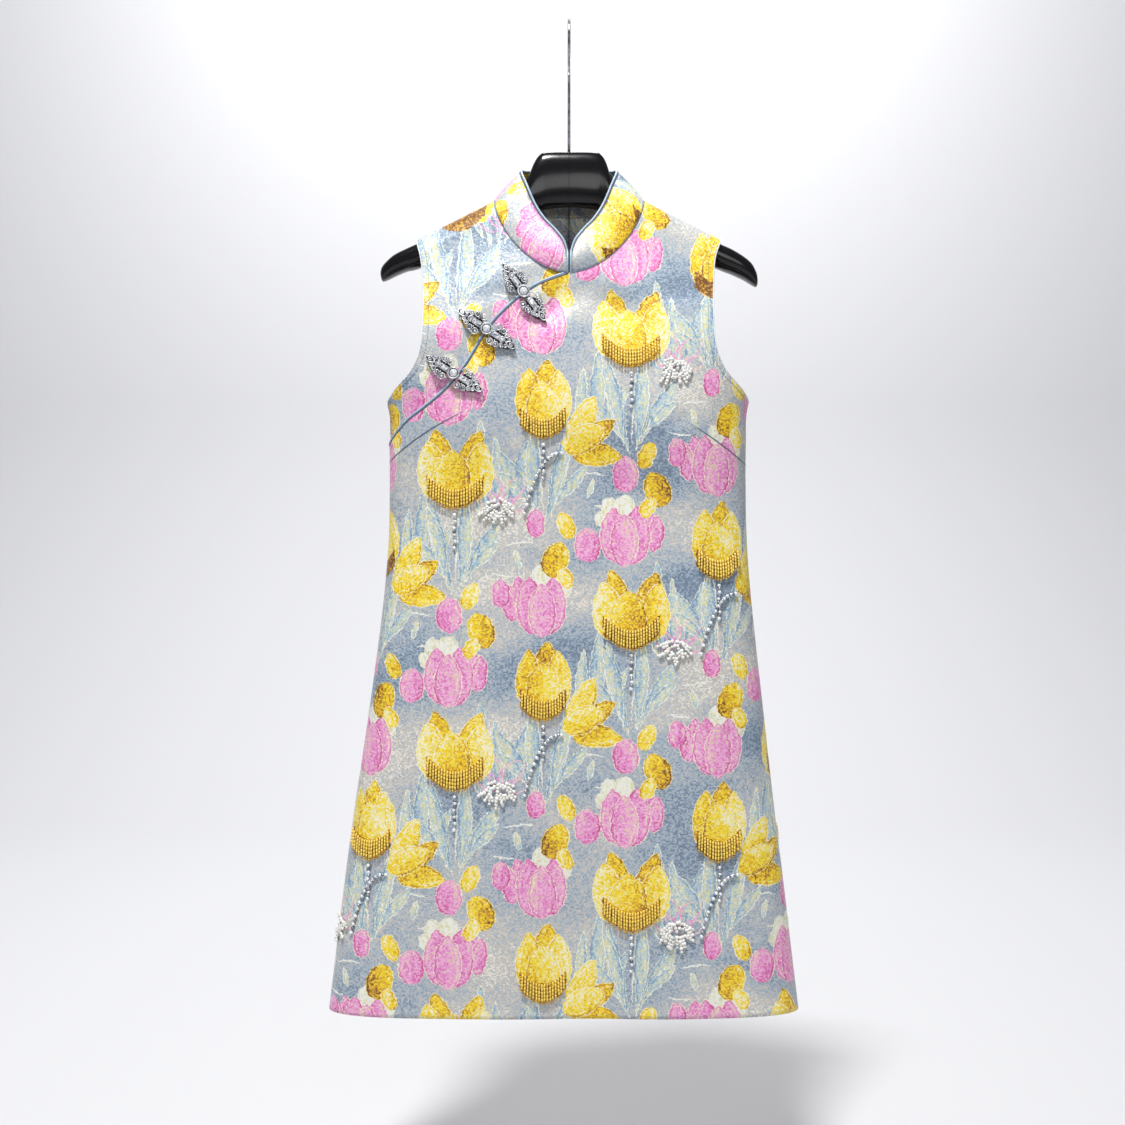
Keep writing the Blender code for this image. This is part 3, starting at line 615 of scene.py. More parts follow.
def tube(path, out, radius, sides, closed=False):
    """A round tube along a path. out gives a direction across it at each point, radius may vary."""
    rings = rings_round(directions(path, closed), out, sides)
    points = path[:, None] + rings * np.broadcast_to(radius, len(path))[:, None, None]
    faces = ring_faces(len(path), sides, closed=True) if closed else rod_faces(len(path), sides)
    return points.reshape(-1, 3), faces


def merge(shapes):
    points, faces, start = [], [], 0
    for some_points, some_faces in shapes:
        points.append(some_points)
        faces += [tuple(index + start for index in face) for face in some_faces]
        start += len(some_points)
    return np.concatenate(points), faces


# Shader nodes


class Sketch:
    """A material whose nodes are written as short calls. Numbers and sockets can be mixed."""

    def __init__(self, name, **finish):
        self.material = bpy.data.materials.new(name)
        self.material.use_nodes = True
        self.nodes = self.material.node_tree.nodes
        self.finish(**finish)

    def finish(self, **values):
        """Sets or links the shader's own sockets."""
        for name, value in values.items():
            self.set(self.nodes["Principled BSDF"].inputs[name.replace("_", " ")], value)

    def set(self, socket, value):
        if isinstance(value, bpy.types.NodeSocket):
            self.material.node_tree.links.new(value, socket)
        else:
            socket.default_value = value

    def put(self, kind, inputs=(), **settings):
        node = self.nodes.new("ShaderNode" + kind)
        for name, value in settings.items():
            setattr(node, name, value)
        for name, value in dict(inputs).items():
            self.set(node.inputs[name], value)
        return node

    def on_object(self):
        return self.put("TexCoord").outputs["Object"]

    def math(self, operation, a, b=0.0, c=0.0):
        return self.put("Math", {0: a, 1: b, 2: c}, operation=operation).outputs[0]

    def plus(self, a, b):
        return self.math("ADD", a, b)

    def times(self, a, b):
        return self.math("MULTIPLY", a, b)

    def least(self, a, b):
        return self.math("MINIMUM", a, b)

    def scaled(self, a, factor, more):
        return self.math("MULTIPLY_ADD", a, factor, more)

    def above(self, a, limit):
        return self.math("GREATER_THAN", a, limit)

    def blend(self, share, a, b):
        return self.put("Mix", {0: share, 2: a, 3: b}, data_type="FLOAT").outputs[0]

    def mix(self, share, a, b):
        return self.put("Mix", {0: share, 6: a, 7: b}, data_type="RGBA").outputs[2]

    def noise(self, vector, scale, detail=2.0, roughness=0.5):
        inputs = {"Vector": vector, "Scale": scale, "Detail": detail, "Roughness": roughness}
        return self.put("TexNoise", inputs).outputs

    def ramp(self, value, *stops):
        """A colour ramp through stops of (place, red, green, blue), in display colours."""
        node = self.put("ValToRGB", {0: value})
        elements = node.color_ramp.elements
        for place in [stop[0] for stop in stops[1:-1]]:
            elements.new(place)
        for element, (place, *colour) in zip(elements, stops):
            element.position, element.color = place, rgb(*colour)
        return node.outputs[0]

    def curve(self, value, points, handles="AUTO"):
        node = self.put("FloatCurve", {1: value})
        node.mapping.clip_min_y = -1.0
        line = node.mapping.curves[0]
        line.points[0].location, line.points[-1].location = points[0], points[-1]
        for place in points[1:-1]:
            line.points.new(*place)
        for point in line.points:
            point.handle_type = handles
        node.mapping.update()
        return node.outputs[0]

    def bump(self, height, strength, distance):
        inputs = {"Strength": strength, "Distance": distance, "Height": height}
        self.finish(Normal=self.put("Bump", inputs).outputs[0])


def rgb(red, green, blue):
    """A display colour, 0 to 255, as the linear colour with alpha that shaders use, by the sRGB rule."""
    return *[((c / 255 + 0.055) / 1.055) ** 2.4 if c > 10 else c / 3295 for c in (red, green, blue)], 1.0


# The woven print: shares of a petal's half width by the share of its length
PETAL_SHAPE = ((0.0, 0.0), (0.05, 0.46), (0.20, 0.84), (0.44, 1.0), (0.68, 0.88), (0.88, 0.50), (1.0, 0.0))
BUD_SHAPE = ((0.0, 0.0), (0.06, 0.5), (0.25, 0.92), (0.5, 1.0), (0.75, 0.88), (0.93, 0.48), (1.0, 0.0))
LEAF_SHAPE = ((0.0, 0.12), (0.25, 0.55), (0.55, 1.0), (0.8, 0.72), (1.0, 0.0))

# Motifs: foot from the motif's own origin, lean to the right of up in degrees, length, half width, bend of
# the tip, tone at the foot and how much it gains to the tip and to the right edge. All lengths in mm.


def motif(petals):
    return table("x z lean length half bend tone gain side\n" + petals.strip())


OPEN_TULIP = motif("""
-7 0 -10 66 14 -3 0.18 0.26 0
9 2 13 63 14 4 0.22 0.22 0
-13 -9 -27 62 17 13 0.56 0.2 -0.2
14 -9 28 60 17 -14 0.5 0.24 0.22
-2 -14 -4 57 20 3 0.3 0.3 -0.2
""")
ROUND_TULIP = motif("""
1 2 4 62 15 0 0.22 0.22 0
-11 -8 -12 63 14 10 0.34 0.26 -0.16
12 -8 13 61 14 -10 0.56 0.22 0.2
0 -13 2 54 18 -3 0.5 0.22 0.26
""")
BOWED_TULIP = motif("""
-18 -8 62 56 12 -4 0.22 0.2 0
-20 2 46 52 13 -12 0.52 0.25 -0.2
-14 -16 76 50 13 12 0.3 0.26 0.2
-24 -8 60 48 14 2 0.56 0.16 -0.24
""")
PINK_TULIPS = motif("""
19 -12 6 44 10 -2 0.38 0.2 0.14
26 -15 13 39 9 -3 0.52 0.12 -0.12
-9 -27 -15 58 15 9 0.44 0.18 -0.18
4 -28 15 60 15 -9 0.4 0.2 0.18
-3 -31 -1 56 15 1 0.58 0.12 0.14
""")
PINK_BUDS = motif("""
-24 -8 -8 36 14 2 0.5 0.16 0.14
26 18 10 29 10 -3 0.46 0.18 -0.12
""")
YELLOW_BUDS = motif("""
-9 16 18 29 9 2 0.5 0.25 0.1
12 -24 -12 38 14 -3 0.24 0.26 -0.2
-8 -34 26 23 8 0 0.56 0.2 0.15
""")
LOW_LEAVES = motif("""
0 -46 1 104 1.2 5 0.84 0.05 0
-2 -44 -19 98 8.5 10 0.26 0.25 -0.32
5 -40 9 98 8 -10 0.36 0.2 0.28
-8 -36 -7 86 7 -12 0.44 0.18 -0.28
9 -34 25 82 8 10 0.38 0.2 0.26
-11 -28 -33 58 6.5 -7 0.46 0.15 -0.22
13 -24 38 48 6 6 0.42 0.18 0.22
""")
HIGH_LEAVES = motif("""
10 -48 14 96 8 8 0.3 0.22 0.28
-6 -50 -10 106 8.5 9 0.28 0.25 -0.3
2 -54 4 92 6.5 -9 0.44 0.18 0.26
-14 -44 -22 72 6.5 -8 0.42 0.2 -0.24
""")
BLOSSOM = motif("""
-12 13 -74 23 9 2 0.92 0.1 0
-10 15 -32 28 10 2 0.96 0.08 0
-6 15 10 29 11 0 1 0.08 0
""")
RIPPLES = motif("""
-26 -4 84 34 0.9 7 1 0 0
-6 -38 96 26 0.9 -6 1 0 0
-10 -30 12 20 3.4 1 0.62 0.3 0
""")
FINE_BLOOM = motif("""
0 2 -62 32 9 4 0.56 0.3 0
0 4 -16 36 9 -3 0.62 0.3 0
2 4 34 34 10 4 0.52 0.35 0
2 0 80 28 8 -3 0.6 0.3 0
""")

# A petal's inner lines: depth inside its edge, gain in tone. A light outline, a dark line and a light one.
CONTOUR_REACH = 8.0 * MM  # the unit of these depths and of the two widths below
CONTOURS = ((0.0, 0.60), (0.12, 0.52), (0.16, -0.36), (0.25, -0.30), (0.31, 0.0))
CONTOURS += ((0.50, 0.0), (0.55, 0.26), (0.60, 0.26), (0.65, 0.0), (1.0, 0.0))
HOLLOW_LINE = 0.21
RIB = 0.12
RIB_TONE = 0.78
CURVE_END = 0.05  # pulls a shape's ends closed
NO_TONE = -1.0
# Tone of the painted shade laid into the print behind each fringe's strands
STRAND_SHADE_TONE = 0.06
BAND_SHARE = 0.84  # of the strands' length
BAND_RISE = 0.0012

# The weave's unevenness: one point of thread, how far the outlines wander and how far single points stray
POINT_SIZE = (0.0017, 0.0014, 1.0)
WANDER_SCALE = 170.0
WANDER = 0.0050
WANDER_MIDDLE = 0.0028
STRAY_U = 0.0007
STRAY_Z = 0.0006
LEAST_DOT, DOT_RANGE = 0.35, 0.9
CLOUD_AND_SHEEN_SCALE = (6.0, 11.0, 1.0)  # of the ground's clouds in the print, which also lay a painted sheen of lighter patches
STREAK_SCALE = (240.0, 70.0, 1.0)
THREAD_SCALE = (520.0, 1500.0, 1.0)
METAL_POINTS = (0.9, -0.45)  # how the points of thread spread in metal, from none

# Where the groups of motifs sit, from FIRST_CUP
QUARTER_ACROSS = REPEAT_ACROSS / 2
QUARTER_RISE = REPEAT_DOWN / 4
LOW_LEAVES_AT = (0.000, -0.062)
HIGH_LEAVES_AT = (0.042, 0.018)
PINK_AT = (-0.004, 0.098)
BUDS_AT = (0.020, 0.152)
RIPPLES_AT = (-0.034, -0.122)
BOWED_AT = (-0.046, 0.196)
BLOOM_AT = (0.046, 0.272)

# Colours of the print by tone: place, red, green, blue
GROUND_COLOURS = (
    (0.00, 116, 134, 156),
    (0.25, 154, 170, 186),
    (0.50, 180, 190, 198),
    (0.72, 202, 198, 191),
    (0.94, 218, 212, 200),
    (1.00, 236, 232, 222),
)
LEAF_COLOURS = (
    (0.00, 126, 156, 184),
    (0.26, 162, 190, 208),
    (0.48, 188, 206, 212),
    (0.62, 212, 220, 212),
    (0.72, 220, 214, 136),
    (0.82, 224, 220, 176),
    (1.00, 240, 240, 230),
)
PINK_COLOURS = (
    (0.00, 178, 60, 120),
    (0.30, 214, 100, 164),
    (0.55, 236, 150, 206),
    (0.74, 244, 190, 222),
    (0.86, 230, 200, 166),
    (1.00, 244, 232, 210),
)
YELLOW_COLOURS = (
    (0.00, 120, 78, 26),
    (0.16, 190, 140, 56),
    (0.34, 226, 174, 44),
    (0.50, 246, 210, 24),
    (0.70, 250, 226, 66),
    (0.86, 246, 232, 150),
    (1.00, 248, 242, 210),
)
GROUND_TONE = -0.62
YELLOW_DARKER = -0.36

# How far wear moves the beads' shade and each finish's roughness
BEAD_WEAR = 0.4
STEEL_WEAR = 0.2
GLOSS = 0.08  # the plastic's least roughness
FLOW_MARK = 0.10
SCRATCH = 0.12


def placed(step):
    """A place in the print, from its step off FIRST_CUP."""
    return FIRST_CUP[0] + step[0], FIRST_CUP[1] + step[1]


class Print(Sketch):
    """The jacquard's own drawing of tulips, buds and leaves, in points of thread on a mottled ground, with
    painted shade behind the bead fringes and painted sheen in the ground's clouds.
    """

    def __init__(self, name, **finish):
        super().__init__(name, **finish)
        self.place = self.put("UVMap", uv_map="pattern").outputs[0]
        point = self.put("VectorMath", {0: self.place, 1: POINT_SIZE}, operation="SNAP").outputs[0]
        points = self.put("TexWhiteNoise", {"Vector": point}, noise_dimensions="2D")
        self.points = self.put("SeparateColor", {0: points.outputs[1]}).outputs
        split = self.put("SeparateXYZ", {0: self.place}).outputs
        wander = self.put("SeparateColor", {0: self.noise(self.place, WANDER_SCALE)[1]}).outputs
        u = self.scaled(wander[0], WANDER, self.plus(split[0], -WANDER_MIDDLE))
        z = self.scaled(wander[1], WANDER, self.plus(split[1], -WANDER_MIDDLE))
        self.u = self.scaled(self.points[0], STRAY_U, u)
        self.z = self.scaled(self.points[1], STRAY_Z, z)
        self.dots = self.scaled(self.points[2], DOT_RANGE, LEAST_DOT)
        self.mottle = self.plus(wander[2], -0.5)
        self.speckle = self.plus(self.points[2], -0.5)
        # Large soft patches: partly the print's own clouds, partly a painted sheen of lighter patches on the
        # satin
        self.broad = self.stretched_noise(CLOUD_AND_SHEEN_SCALE, detail=1.5)
        self.streaks = self.plus(self.stretched_noise(STREAK_SCALE, detail=1.0), -0.5)

    def stretched_noise(self, scale, detail):
        """Noise over the print, with its own scale each way."""
        place = self.put("Mapping", {"Vector": self.place, "Scale": scale}).outputs[0]
        return self.noise(place, 1.0, detail)[0]

    def repeat(self, step, quarter=False):
        """Coordinates from the nearest copy of a motif. In quarter steps every other copy is mirrored."""
        origin = placed(step)
        across = QUARTER_ACROSS if quarter else REPEAT_ACROSS
        rise = QUARTER_RISE if quarter else REPEAT_DOWN / 2
        near = self.plus(self.u, -origin[0])
        column = self.math("FLOOR", self.scaled(near, 1 / across, 0.5))
        a = self.scaled(column, -across, near)
        b = self.scaled(column, -rise, self.plus(self.z, -origin[1]))
        b = self.math("WRAP", b, REPEAT_DOWN / 2, -REPEAT_DOWN / 2)
        if quarter:
            odd = self.math("FLOORED_MODULO", column, 2.0)
            a = self.times(a, self.scaled(odd, -2.0, 1.0))
        return a, b

    def petals(self, tone, spot, petals, shape, rib=False, hollow=False):
        """Lays petals over the tones so far, each with its own shading, a light edge and inner lines."""
        a, b = spot
        for k, angle in enumerate(np.radians(petals.lean).tolist()):
            sine, cosine = math.sin(angle), math.cos(angle)
            length, half = petals.length[k] * MM, petals.half[k] * MM / CONTOUR_REACH
            x, z = petals.x[k] * MM, petals.z[k] * MM
            along = self.scaled(a, sine / length, -(x * sine + z * cosine) / length)
            along = self.scaled(b, cosine / length, along)
            across = self.scaled(a, cosine / CONTOUR_REACH, (z * sine - x * cosine) / CONTOUR_REACH)
            across = self.scaled(b, -sine / CONTOUR_REACH, across)
            across = self.scaled(self.times(along, along), -petals.bend[k] * MM / CONTOUR_REACH, across)
            off_middle = self.math("ABSOLUTE", across)
            inside = self.scaled(self.curve(along, shape), half + CURVE_END, -CURVE_END)
            inside = self.math("SUBTRACT", inside, off_middle)
            shade = self.scaled(along, petals.gain[k], petals.tone[k])
            if hollow:
                inside = self.times(inside, self.scaled(inside, -1.0, HOLLOW_LINE))
            else:
                shade = self.scaled(across, petals.side[k] / half, shade)
                shade = self.scaled(self.curve(inside, CONTOURS, "VECTOR"), self.dots, shade)
            if rib:
                shade = self.math("MAXIMUM", shade, self.scaled(off_middle, -1 / RIB, RIB_TONE))
            tone = self.blend(self.above(inside, 0.0), tone, shade)
        return tone

    def fringe_shade_band(self, tone, spot, kind):
        """Painted shade behind a fringe: a dark band in the print, nearly as deep as its strands are long,
        for the shade between and under its strands.
        """
        a, b = spot
        half, arc = FRINGES.half[kind], FRINGES.arc[kind]
        below = self.scaled(self.times(a, a), arc / half**2, self.scaled(b, -1.0, BAND_RISE))
        inside = self.least(below, self.scaled(below, -1.0, FRINGES.length[kind] * BAND_SHARE))
        inside = self.least(inside, self.scaled(self.math("ABSOLUTE", a), -1.0, half + BAND_RISE))
        return self.blend(self.above(inside, 0.0), tone, STRAND_SHADE_TONE)

    def toned(self, tone, **shares):
        """Adds shares of the named noises to a tone."""
        for noise, share in shares.items():
            tone = self.scaled(getattr(self, noise), share, tone)
        return tone

    def over(self, colour, tones, level, colours):
        """Lays a layer's colours over those so far, wherever the layer has tones."""
        return self.mix(self.above(tones, NO_TONE / 2), colour, self.ramp(level, *colours))


def make_brocade():
    weave = Print("Brocade", Roughness=0.46)
    pink_spot = weave.repeat(PINK_AT, quarter=True)
    bud_spot = weave.repeat(BUDS_AT, quarter=True)
    cup, second_cup = weave.repeat((0.0, 0.0)), weave.repeat(SECOND_CUP_STEP)

    leaves = weave.petals(NO_TONE, weave.repeat(RIPPLES_AT, quarter=True), RIPPLES, BUD_SHAPE)
    for step, motif in ((HIGH_LEAVES_AT, HIGH_LEAVES), (LOW_LEAVES_AT, LOW_LEAVES)):
        leaves = weave.petals(leaves, weave.repeat(step, quarter=True), motif, LEAF_SHAPE, rib=True)
    leaves = weave.petals(leaves, pink_spot, BLOSSOM, BUD_SHAPE)

    pink = weave.petals(NO_TONE, weave.repeat(BLOOM_AT), FINE_BLOOM, BUD_SHAPE, hollow=True)
    pink = weave.petals(pink, pink_spot, PINK_TULIPS, PETAL_SHAPE)
    pink = weave.petals(pink, bud_spot, PINK_BUDS, BUD_SHAPE)

    yellow = weave.petals(NO_TONE, bud_spot, YELLOW_BUDS, BUD_SHAPE)
    for spot, motif in ((weave.repeat(BOWED_AT), BOWED_TULIP), (cup, OPEN_TULIP), (second_cup, ROUND_TULIP)):
        yellow = weave.petals(yellow, spot, motif, PETAL_SHAPE)
    # Painted shade behind the fringes' strands
    yellow = weave.fringe_shade_band(yellow, cup, OPEN_CUP)
    yellow = weave.fringe_shade_band(yellow, second_cup, ROUND_CUP)

    ground_level = weave.toned(GROUND_TONE, broad=2.2, mottle=0.18, speckle=0.58)
    leaf_level = weave.toned(leaves, speckle=0.50, streaks=0.9)
    pink_level = weave.toned(pink, speckle=0.40, streaks=0.4, mottle=0.15)
    yellow_level = weave.plus(yellow, YELLOW_DARKER)
    yellow_level = weave.toned(yellow_level, speckle=0.55, broad=0.8, streaks=0.5, mottle=0.4)
    colour = weave.over(weave.ramp(ground_level, *GROUND_COLOURS), leaves, leaf_level, LEAF_COLOURS)
    colour = weave.over(colour, pink, pink_level, PINK_COLOURS)
    colour = weave.over(colour, yellow, yellow_level, YELLOW_COLOURS)

    metallic = weave.scaled(weave.points[1], *METAL_POINTS)
    weave.finish(Base_Color=colour, Metallic=metallic, Sheen_Weight=0.15, Sheen_Roughness=0.4)
    weave.bump(weave.stretched_noise(THREAD_SCALE, detail=1.0), strength=0.5, distance=0.0004)
    return weave.material


def make_satin(name, colour, dark):
    """Bias-cut satin round a cord, with a fine grain."""
    satin = Sketch(name, Roughness=0.38, Sheen_Weight=0.25)
    grain = satin.noise(satin.on_object(), scale=900.0)[0]
    satin.finish(Base_Color=satin.ramp(grain, (0.25, *dark), (0.6, *colour)))
    satin.bump(grain, strength=0.3, distance=0.0002)
    return satin.material


def make_beads(name, dark, light, **finish):
    """Beads whose shade runs between two colours by the tint of each."""
    beads = Sketch(name, **finish)
    tint = beads.put("Attribute", attribute_name="tint").outputs["Fac"]
    wear = beads.noise(beads.on_object(), scale=1500.0, detail=1.0)[0]
    level = beads.scaled(wear, BEAD_WEAR, beads.plus(tint, -BEAD_WEAR / 2))
    beads.finish(Base_Color=beads.ramp(level, (0.0, *dark), (1.0, *light)))
    return beads.material


def make_plastic():
    """Glossy moulded plastic with faint flow marks and handling scratches."""
    plastic = Sketch("Hanger_plastic", Base_Color=rgb(14, 14, 16), Specular_IOR_Level=0.3)
    place = plastic.on_object()
    flow = plastic.noise(place, scale=18.0, detail=3.0)[0]
    scratch = plastic.noise(place, scale=260.0, detail=3.0, roughness=0.7)[0]
    roughness = plastic.scaled(scratch, SCRATCH, plastic.scaled(flow, FLOW_MARK, GLOSS))
    plastic.finish(Roughness=roughness, Coat_Weight=0.2, Coat_Roughness=0.08)
    plastic.bump(flow, strength=0.08, distance=0.002)
    return plastic.material


def make_steel(name, dark, light, roughness, metallic=1.0):
    steel = Sketch(name, Metallic=metallic)
    wear = steel.noise(steel.on_object(), scale=140.0, detail=4.0, roughness=0.6)[0]
    steel.finish(Base_Color=steel.ramp(wear, (0.3, *dark), (0.65, *light)))
    steel.finish(Roughness=steel.scaled(wear, STEEL_WEAR, roughness))
    steel.bump(wear, strength=0.15, distance=0.0003)
    return steel.material


def make_crystal(name, dark, light, detail):
    """Foil-backed stone under a clear coat: pale from its foil, with painted glints and dark reflections
    that a noise spreads over its facets.
    """
    stone = Sketch(name, Roughness=0.06, Metallic=0.25, Coat_Weight=1.0, Coat_Roughness=0.02)
    painted_facet_glints = stone.noise(stone.on_object(), scale=420.0, detail=detail)[0]
    stone.finish(Base_Color=stone.ramp(painted_facet_glints, (0.35, *dark), (0.6, *light)))
    return stone.material


BROCADE = make_brocade()
PIPING = make_satin("Piping_satin", (182, 202, 218), (126, 150, 172))
BINDING = make_satin("Binding_satin", (236, 238, 240), (196, 204, 214))
# Dark lines of painted shade along the seams, and the thread of the armhole stitches
SEAM_SHADE_AND_THREAD = make_satin("Seam_shade_and_thread", (92, 104, 126), (60, 70, 90))
GOLD = make_beads("Gold_bugles", (150, 82, 12), (255, 224, 104), Roughness=0.20)
SILVER_BEADS = make_beads("Silver_beads", (92, 104, 120), (250, 252, 255), Roughness=0.14, Metallic=0.25)
PEARL = make_beads("Pearls", (150, 152, 150), (252, 250, 244), Roughness=0.16, Coat_Weight=0.6)
PLASTIC = make_plastic()
STEEL = make_steel("Hook_steel", (120, 120, 124), (196, 198, 204), roughness=0.2)
SILVER = make_steel("Antique_silver", (120, 124, 132), (250, 251, 252), roughness=0.2, metallic=0.35)
DARK_SILVER = make_steel("Darkened_silver", (22, 24, 28), (58, 62, 70), roughness=0.45, metallic=0.3)
CRYSTAL = make_crystal("Rhinestones", (118, 128, 142), (250, 252, 255), detail=0.0)
MILKY = make_crystal("Centre_stones", (196, 202, 212), (248, 249, 250), detail=0.4)


# Cloth shells


def half_columns(edge):
    """Columns from the middle of one side, by the neck point, to its edge."""
    x = NECK_HALF * np.sin(np.linspace(0, math.pi / 2, NECK_COLUMNS))
    neck = t_at_x(x, edge(x))
    return np.concatenate([neck, np.linspace(neck[-1], math.pi / 2, SHOULDER_COLUMNS)[1:]])


def front_columns():
    half = half_columns(front_neck_z)
    return np.concatenate([-half[:0:-1], half])


def column_rows(low, middle, top, count):
    """Heights up each column: even rows to the middle level, then the armhole's rows to the top."""
    spread, crowding = ARMHOLE_CROWDING
    shares = 1 - (1 - np.linspace(0, 1, ARMHOLE_ROWS + 1) ** spread) ** crowding
    even = low[:, None] + (middle - low)[:, None] * np.linspace(0, 1, count, endpoint=False)
    return np.concatenate([even, middle[:, None] + (top - middle)[:, None] * shares], axis=1)


def add_sheet(name, node, points, spots, flip):
    """A grid of points on the cloth's outer face, as a sheet that stands for one CAD node."""
    shape = points.reshape(-1, 3), grid_faces(*spots[0].shape, flip)
    mesh = new_mesh(name, shape, BROCADE)
    set_pattern(mesh, np.stack(spots, -1).reshape(-1, 2))
    sheet = add_piece(mesh, "brocade", node)
    wall = sheet.modifiers.new("Wall", "SOLIDIFY")
    wall.thickness, wall.offset = WALL, -1.0


def add_panel(name, node, t, z, side, lift=0.0):
    """A panel on columns t of the cloth, with rows at heights z."""
    t = t[:, None]
    spots = TAPES[side].u_at(t, z) * MIRROR[side], z
    add_sheet(name, node, cloth(t, z, side, lift), spots, side == "back")


def add_front_shell():
    t = front_columns()
    middle = np.interp(t, [-math.pi / 2, math.pi / 2], [OPENING_ROWS_Z, UNDERARM_Z])
    z = column_rows(np.full(len(t), HEM_Z), middle, column_top(t, front_top_z), SKIRT_ROWS)
    add_panel("front_shell", "front_panel", t, z, "front")


def add_under_shell():
    """The right front under-piece, from the shoulder to a lap below the slanted opening."""
    t = front_columns()
    t = t[: len(t) // 2 + 1]
    top, opening = column_top(t, front_neck_z), column_top(t, opening_z)
    share = (UNDERARM_Z - opening[0]) / (top[0] - opening[0])
    z = column_rows(opening - LAP_WIDTH, opening + (top - opening) * share, top, UNDER_ROWS)
    add_panel("right_front_shell", "right_front_panel", t, z, "front", lap_lift(t[:, None], z))


def add_back_shells():
    half = half_columns(back_neck_z)
    half[0] = math.asin(SEAM_EASE / 2 / BACK_HALF)
    for word, sign in HANDS:
        t = np.sort(sign * half)
        low, middle = np.full(len(t), HEM_Z), np.full(len(t), UNDERARM_Z)
        z = column_rows(low, middle, column_top(t, back_neck_z), SKIRT_ROWS)
        add_panel(f"back_{word}_shell", f"back_{word}_panel", t, z, "back")


# Collar and corded edges
CORD_SIDES = 10
FRONT_CORD_SHARE = 0.85  # how far up the collar's front edge its straight cord runs
FRONT_CORD_STEPS = 12
TOP_SHARE = 0.7  # from here the collar's rise gives its top edge's direction
LINE_LIFT = 0.0001
SEAM_RADIUS = 0.0005
NECK_SEAM_RADIUS = 0.00055
NECK_SEAM_STEPS = 61
BACK_SEAM_STEPS = 120
OPENING_STEPS = 90
OPENING_ENDS = (0.6, 0.2)  # columns of the front that the cord leaves free, at the side and at the neck
# The dark line of painted shade below the opening's cord
OPENING_SEAM_IN = 0.0003
OPENING_SEAM_RISE = 0.35  # of the wall
OPENING_SEAM_RADIUS = 0.0009
BINDING_STEPS = 90
BINDING_END = 0.012  # shares of the armhole's height left free at both ends
BINDING_INNER = 0.15  # an angle further in, from which the binding's direction is taken


def neck_edge(angle):
    """The neck seam, by the angle in degrees round the neck from the front, on the +X side."""
    least = COLLAR_FRONT_X if angle < SIDE_ANGLE else SEAM_EASE
    x = max(NECK_HALF * math.sin(math.radians(angle)), least)
    side, edge = ("front", front_neck_z) if angle <= SIDE_ANGLE else ("back", back_neck_z)
    z = float(edge(x))
    y = float(SEAM_EASE + depth_at(x, z, side)) * (angle != SIDE_ANGLE)
    return np.array([x, -y if side == "front" else y, z])


def outward(angle):
    return np.array([math.sin(math.radians(angle)), -math.cos(math.radians(angle)), 0.0])


def collar_point(angle, share):
    """A point of the collar's outer face, share of the way up from the neck seam."""
    low = neck_edge(angle)
    high = np.array([curve_through(COLLAR_TOP.angle, getattr(COLLAR_TOP, axis), angle) for axis in "xyz"])
    start = low + unit(high - low) * SEAM_GAP + outward(angle) * COLLAR_STEP
    return start + (high - start) * share + outward(angle) * COLLAR_BOW * math.sin(math.pi * share)


def add_collar(word, sign):
    shares = np.linspace(0, 1, COLLAR_ROWS)
    angles = np.linspace(0, BACK_ANGLE, COLLAR_COLUMNS)
    grid = np.array([[collar_point(angle, share) for share in shares] for angle in angles])
    rise = np.linalg.norm(grid - grid[:, :1], axis=2)
    run = np.broadcast_to(run_along(grid[:, COLLAR_ROWS // 2])[:, None], rise.shape)
    spots = run * sign, rise + NECK_POINT_Z - COLLAR_CUT_DROP
    add_sheet(f"collar_{word}_shell", f"collar_{word}", grid * (sign, 1, 1), spots, sign < 0)


def add_tube(name, path, out, radius, material, slot, *nodes, sides=CORD_SIDES, closed=False):
    shape = tube(np.asarray(path), np.asarray(out), radius, sides, closed)
    add_piece(new_mesh(name, shape, material), slot, *nodes)


def add_seam_shade(name, path, out, radius=SEAM_RADIUS, slot="brocade"):
    """A dark line of painted shade along a seam."""
    add_tube(name, path, out, radius, SEAM_SHADE_AND_THREAD, slot, sides=6)


def add_collar_cord(word, sign):
    """The cord up the collar's front edge and round its top, with a dark line of painted shade along its
    seam beside it.
    """
    mirror = (sign, 1, 1)
    reach = EDGE_RADIUS + EDGE_GAP
    front_x = COLLAR_FRONT_X - reach
    shares = np.linspace(0, FRONT_CORD_SHARE, FRONT_CORD_STEPS)
    up_front = [collar_point(0.0, share) * (0, 1, 1) + (front_x, WALL / 2, 0) for share in shares]
    angles = np.linspace(0, BACK_ANGLE, COLLAR_COLUMNS)
    ways = np.array([outward(angle) for angle in angles])
    tops, below = [np.array([collar_point(angle, share) for angle in angles]) for share in (1.0, TOP_SHARE)]
    up = square_to(directions(tops), tops - below)
    edge = tops + up * reach - ways * WALL / 2
    edge[:, 0] = np.maximum(edge[:, 0], front_x)
    out = np.concatenate([np.tile([0.0, -1.0, 0.0], (len(up_front), 1)), ways])
    name, path = f"collar_{word}_piping", np.concatenate([up_front, edge])
    add_tube(name, path * mirror, out * mirror, EDGE_RADIUS, PIPING, "piping", f"collar_cord_{word}")
    # A dark line of painted shade where the cord meets the collar
    seam_shade = tops + up * EDGE_GAP / 2 + ways * LINE_LIFT
    add_seam_shade(f"{name}_seam", seam_shade * mirror, ways * mirror, slot="piping")


def add_neck_seam(word, sign):
    """The seam between the collar and the body, as a dark line of painted shade."""
    angles = np.linspace(0, BACK_ANGLE, NECK_SEAM_STEPS)
    out = np.array([outward(angle) for angle in angles])
    path = np.array([neck_edge(angle) for angle in angles]) + out * LINE_LIFT
    add_seam_shade(f"neck_seam_{word}", path * (sign, 1, 1), out * (sign, 1, 1), NECK_SEAM_RADIUS)


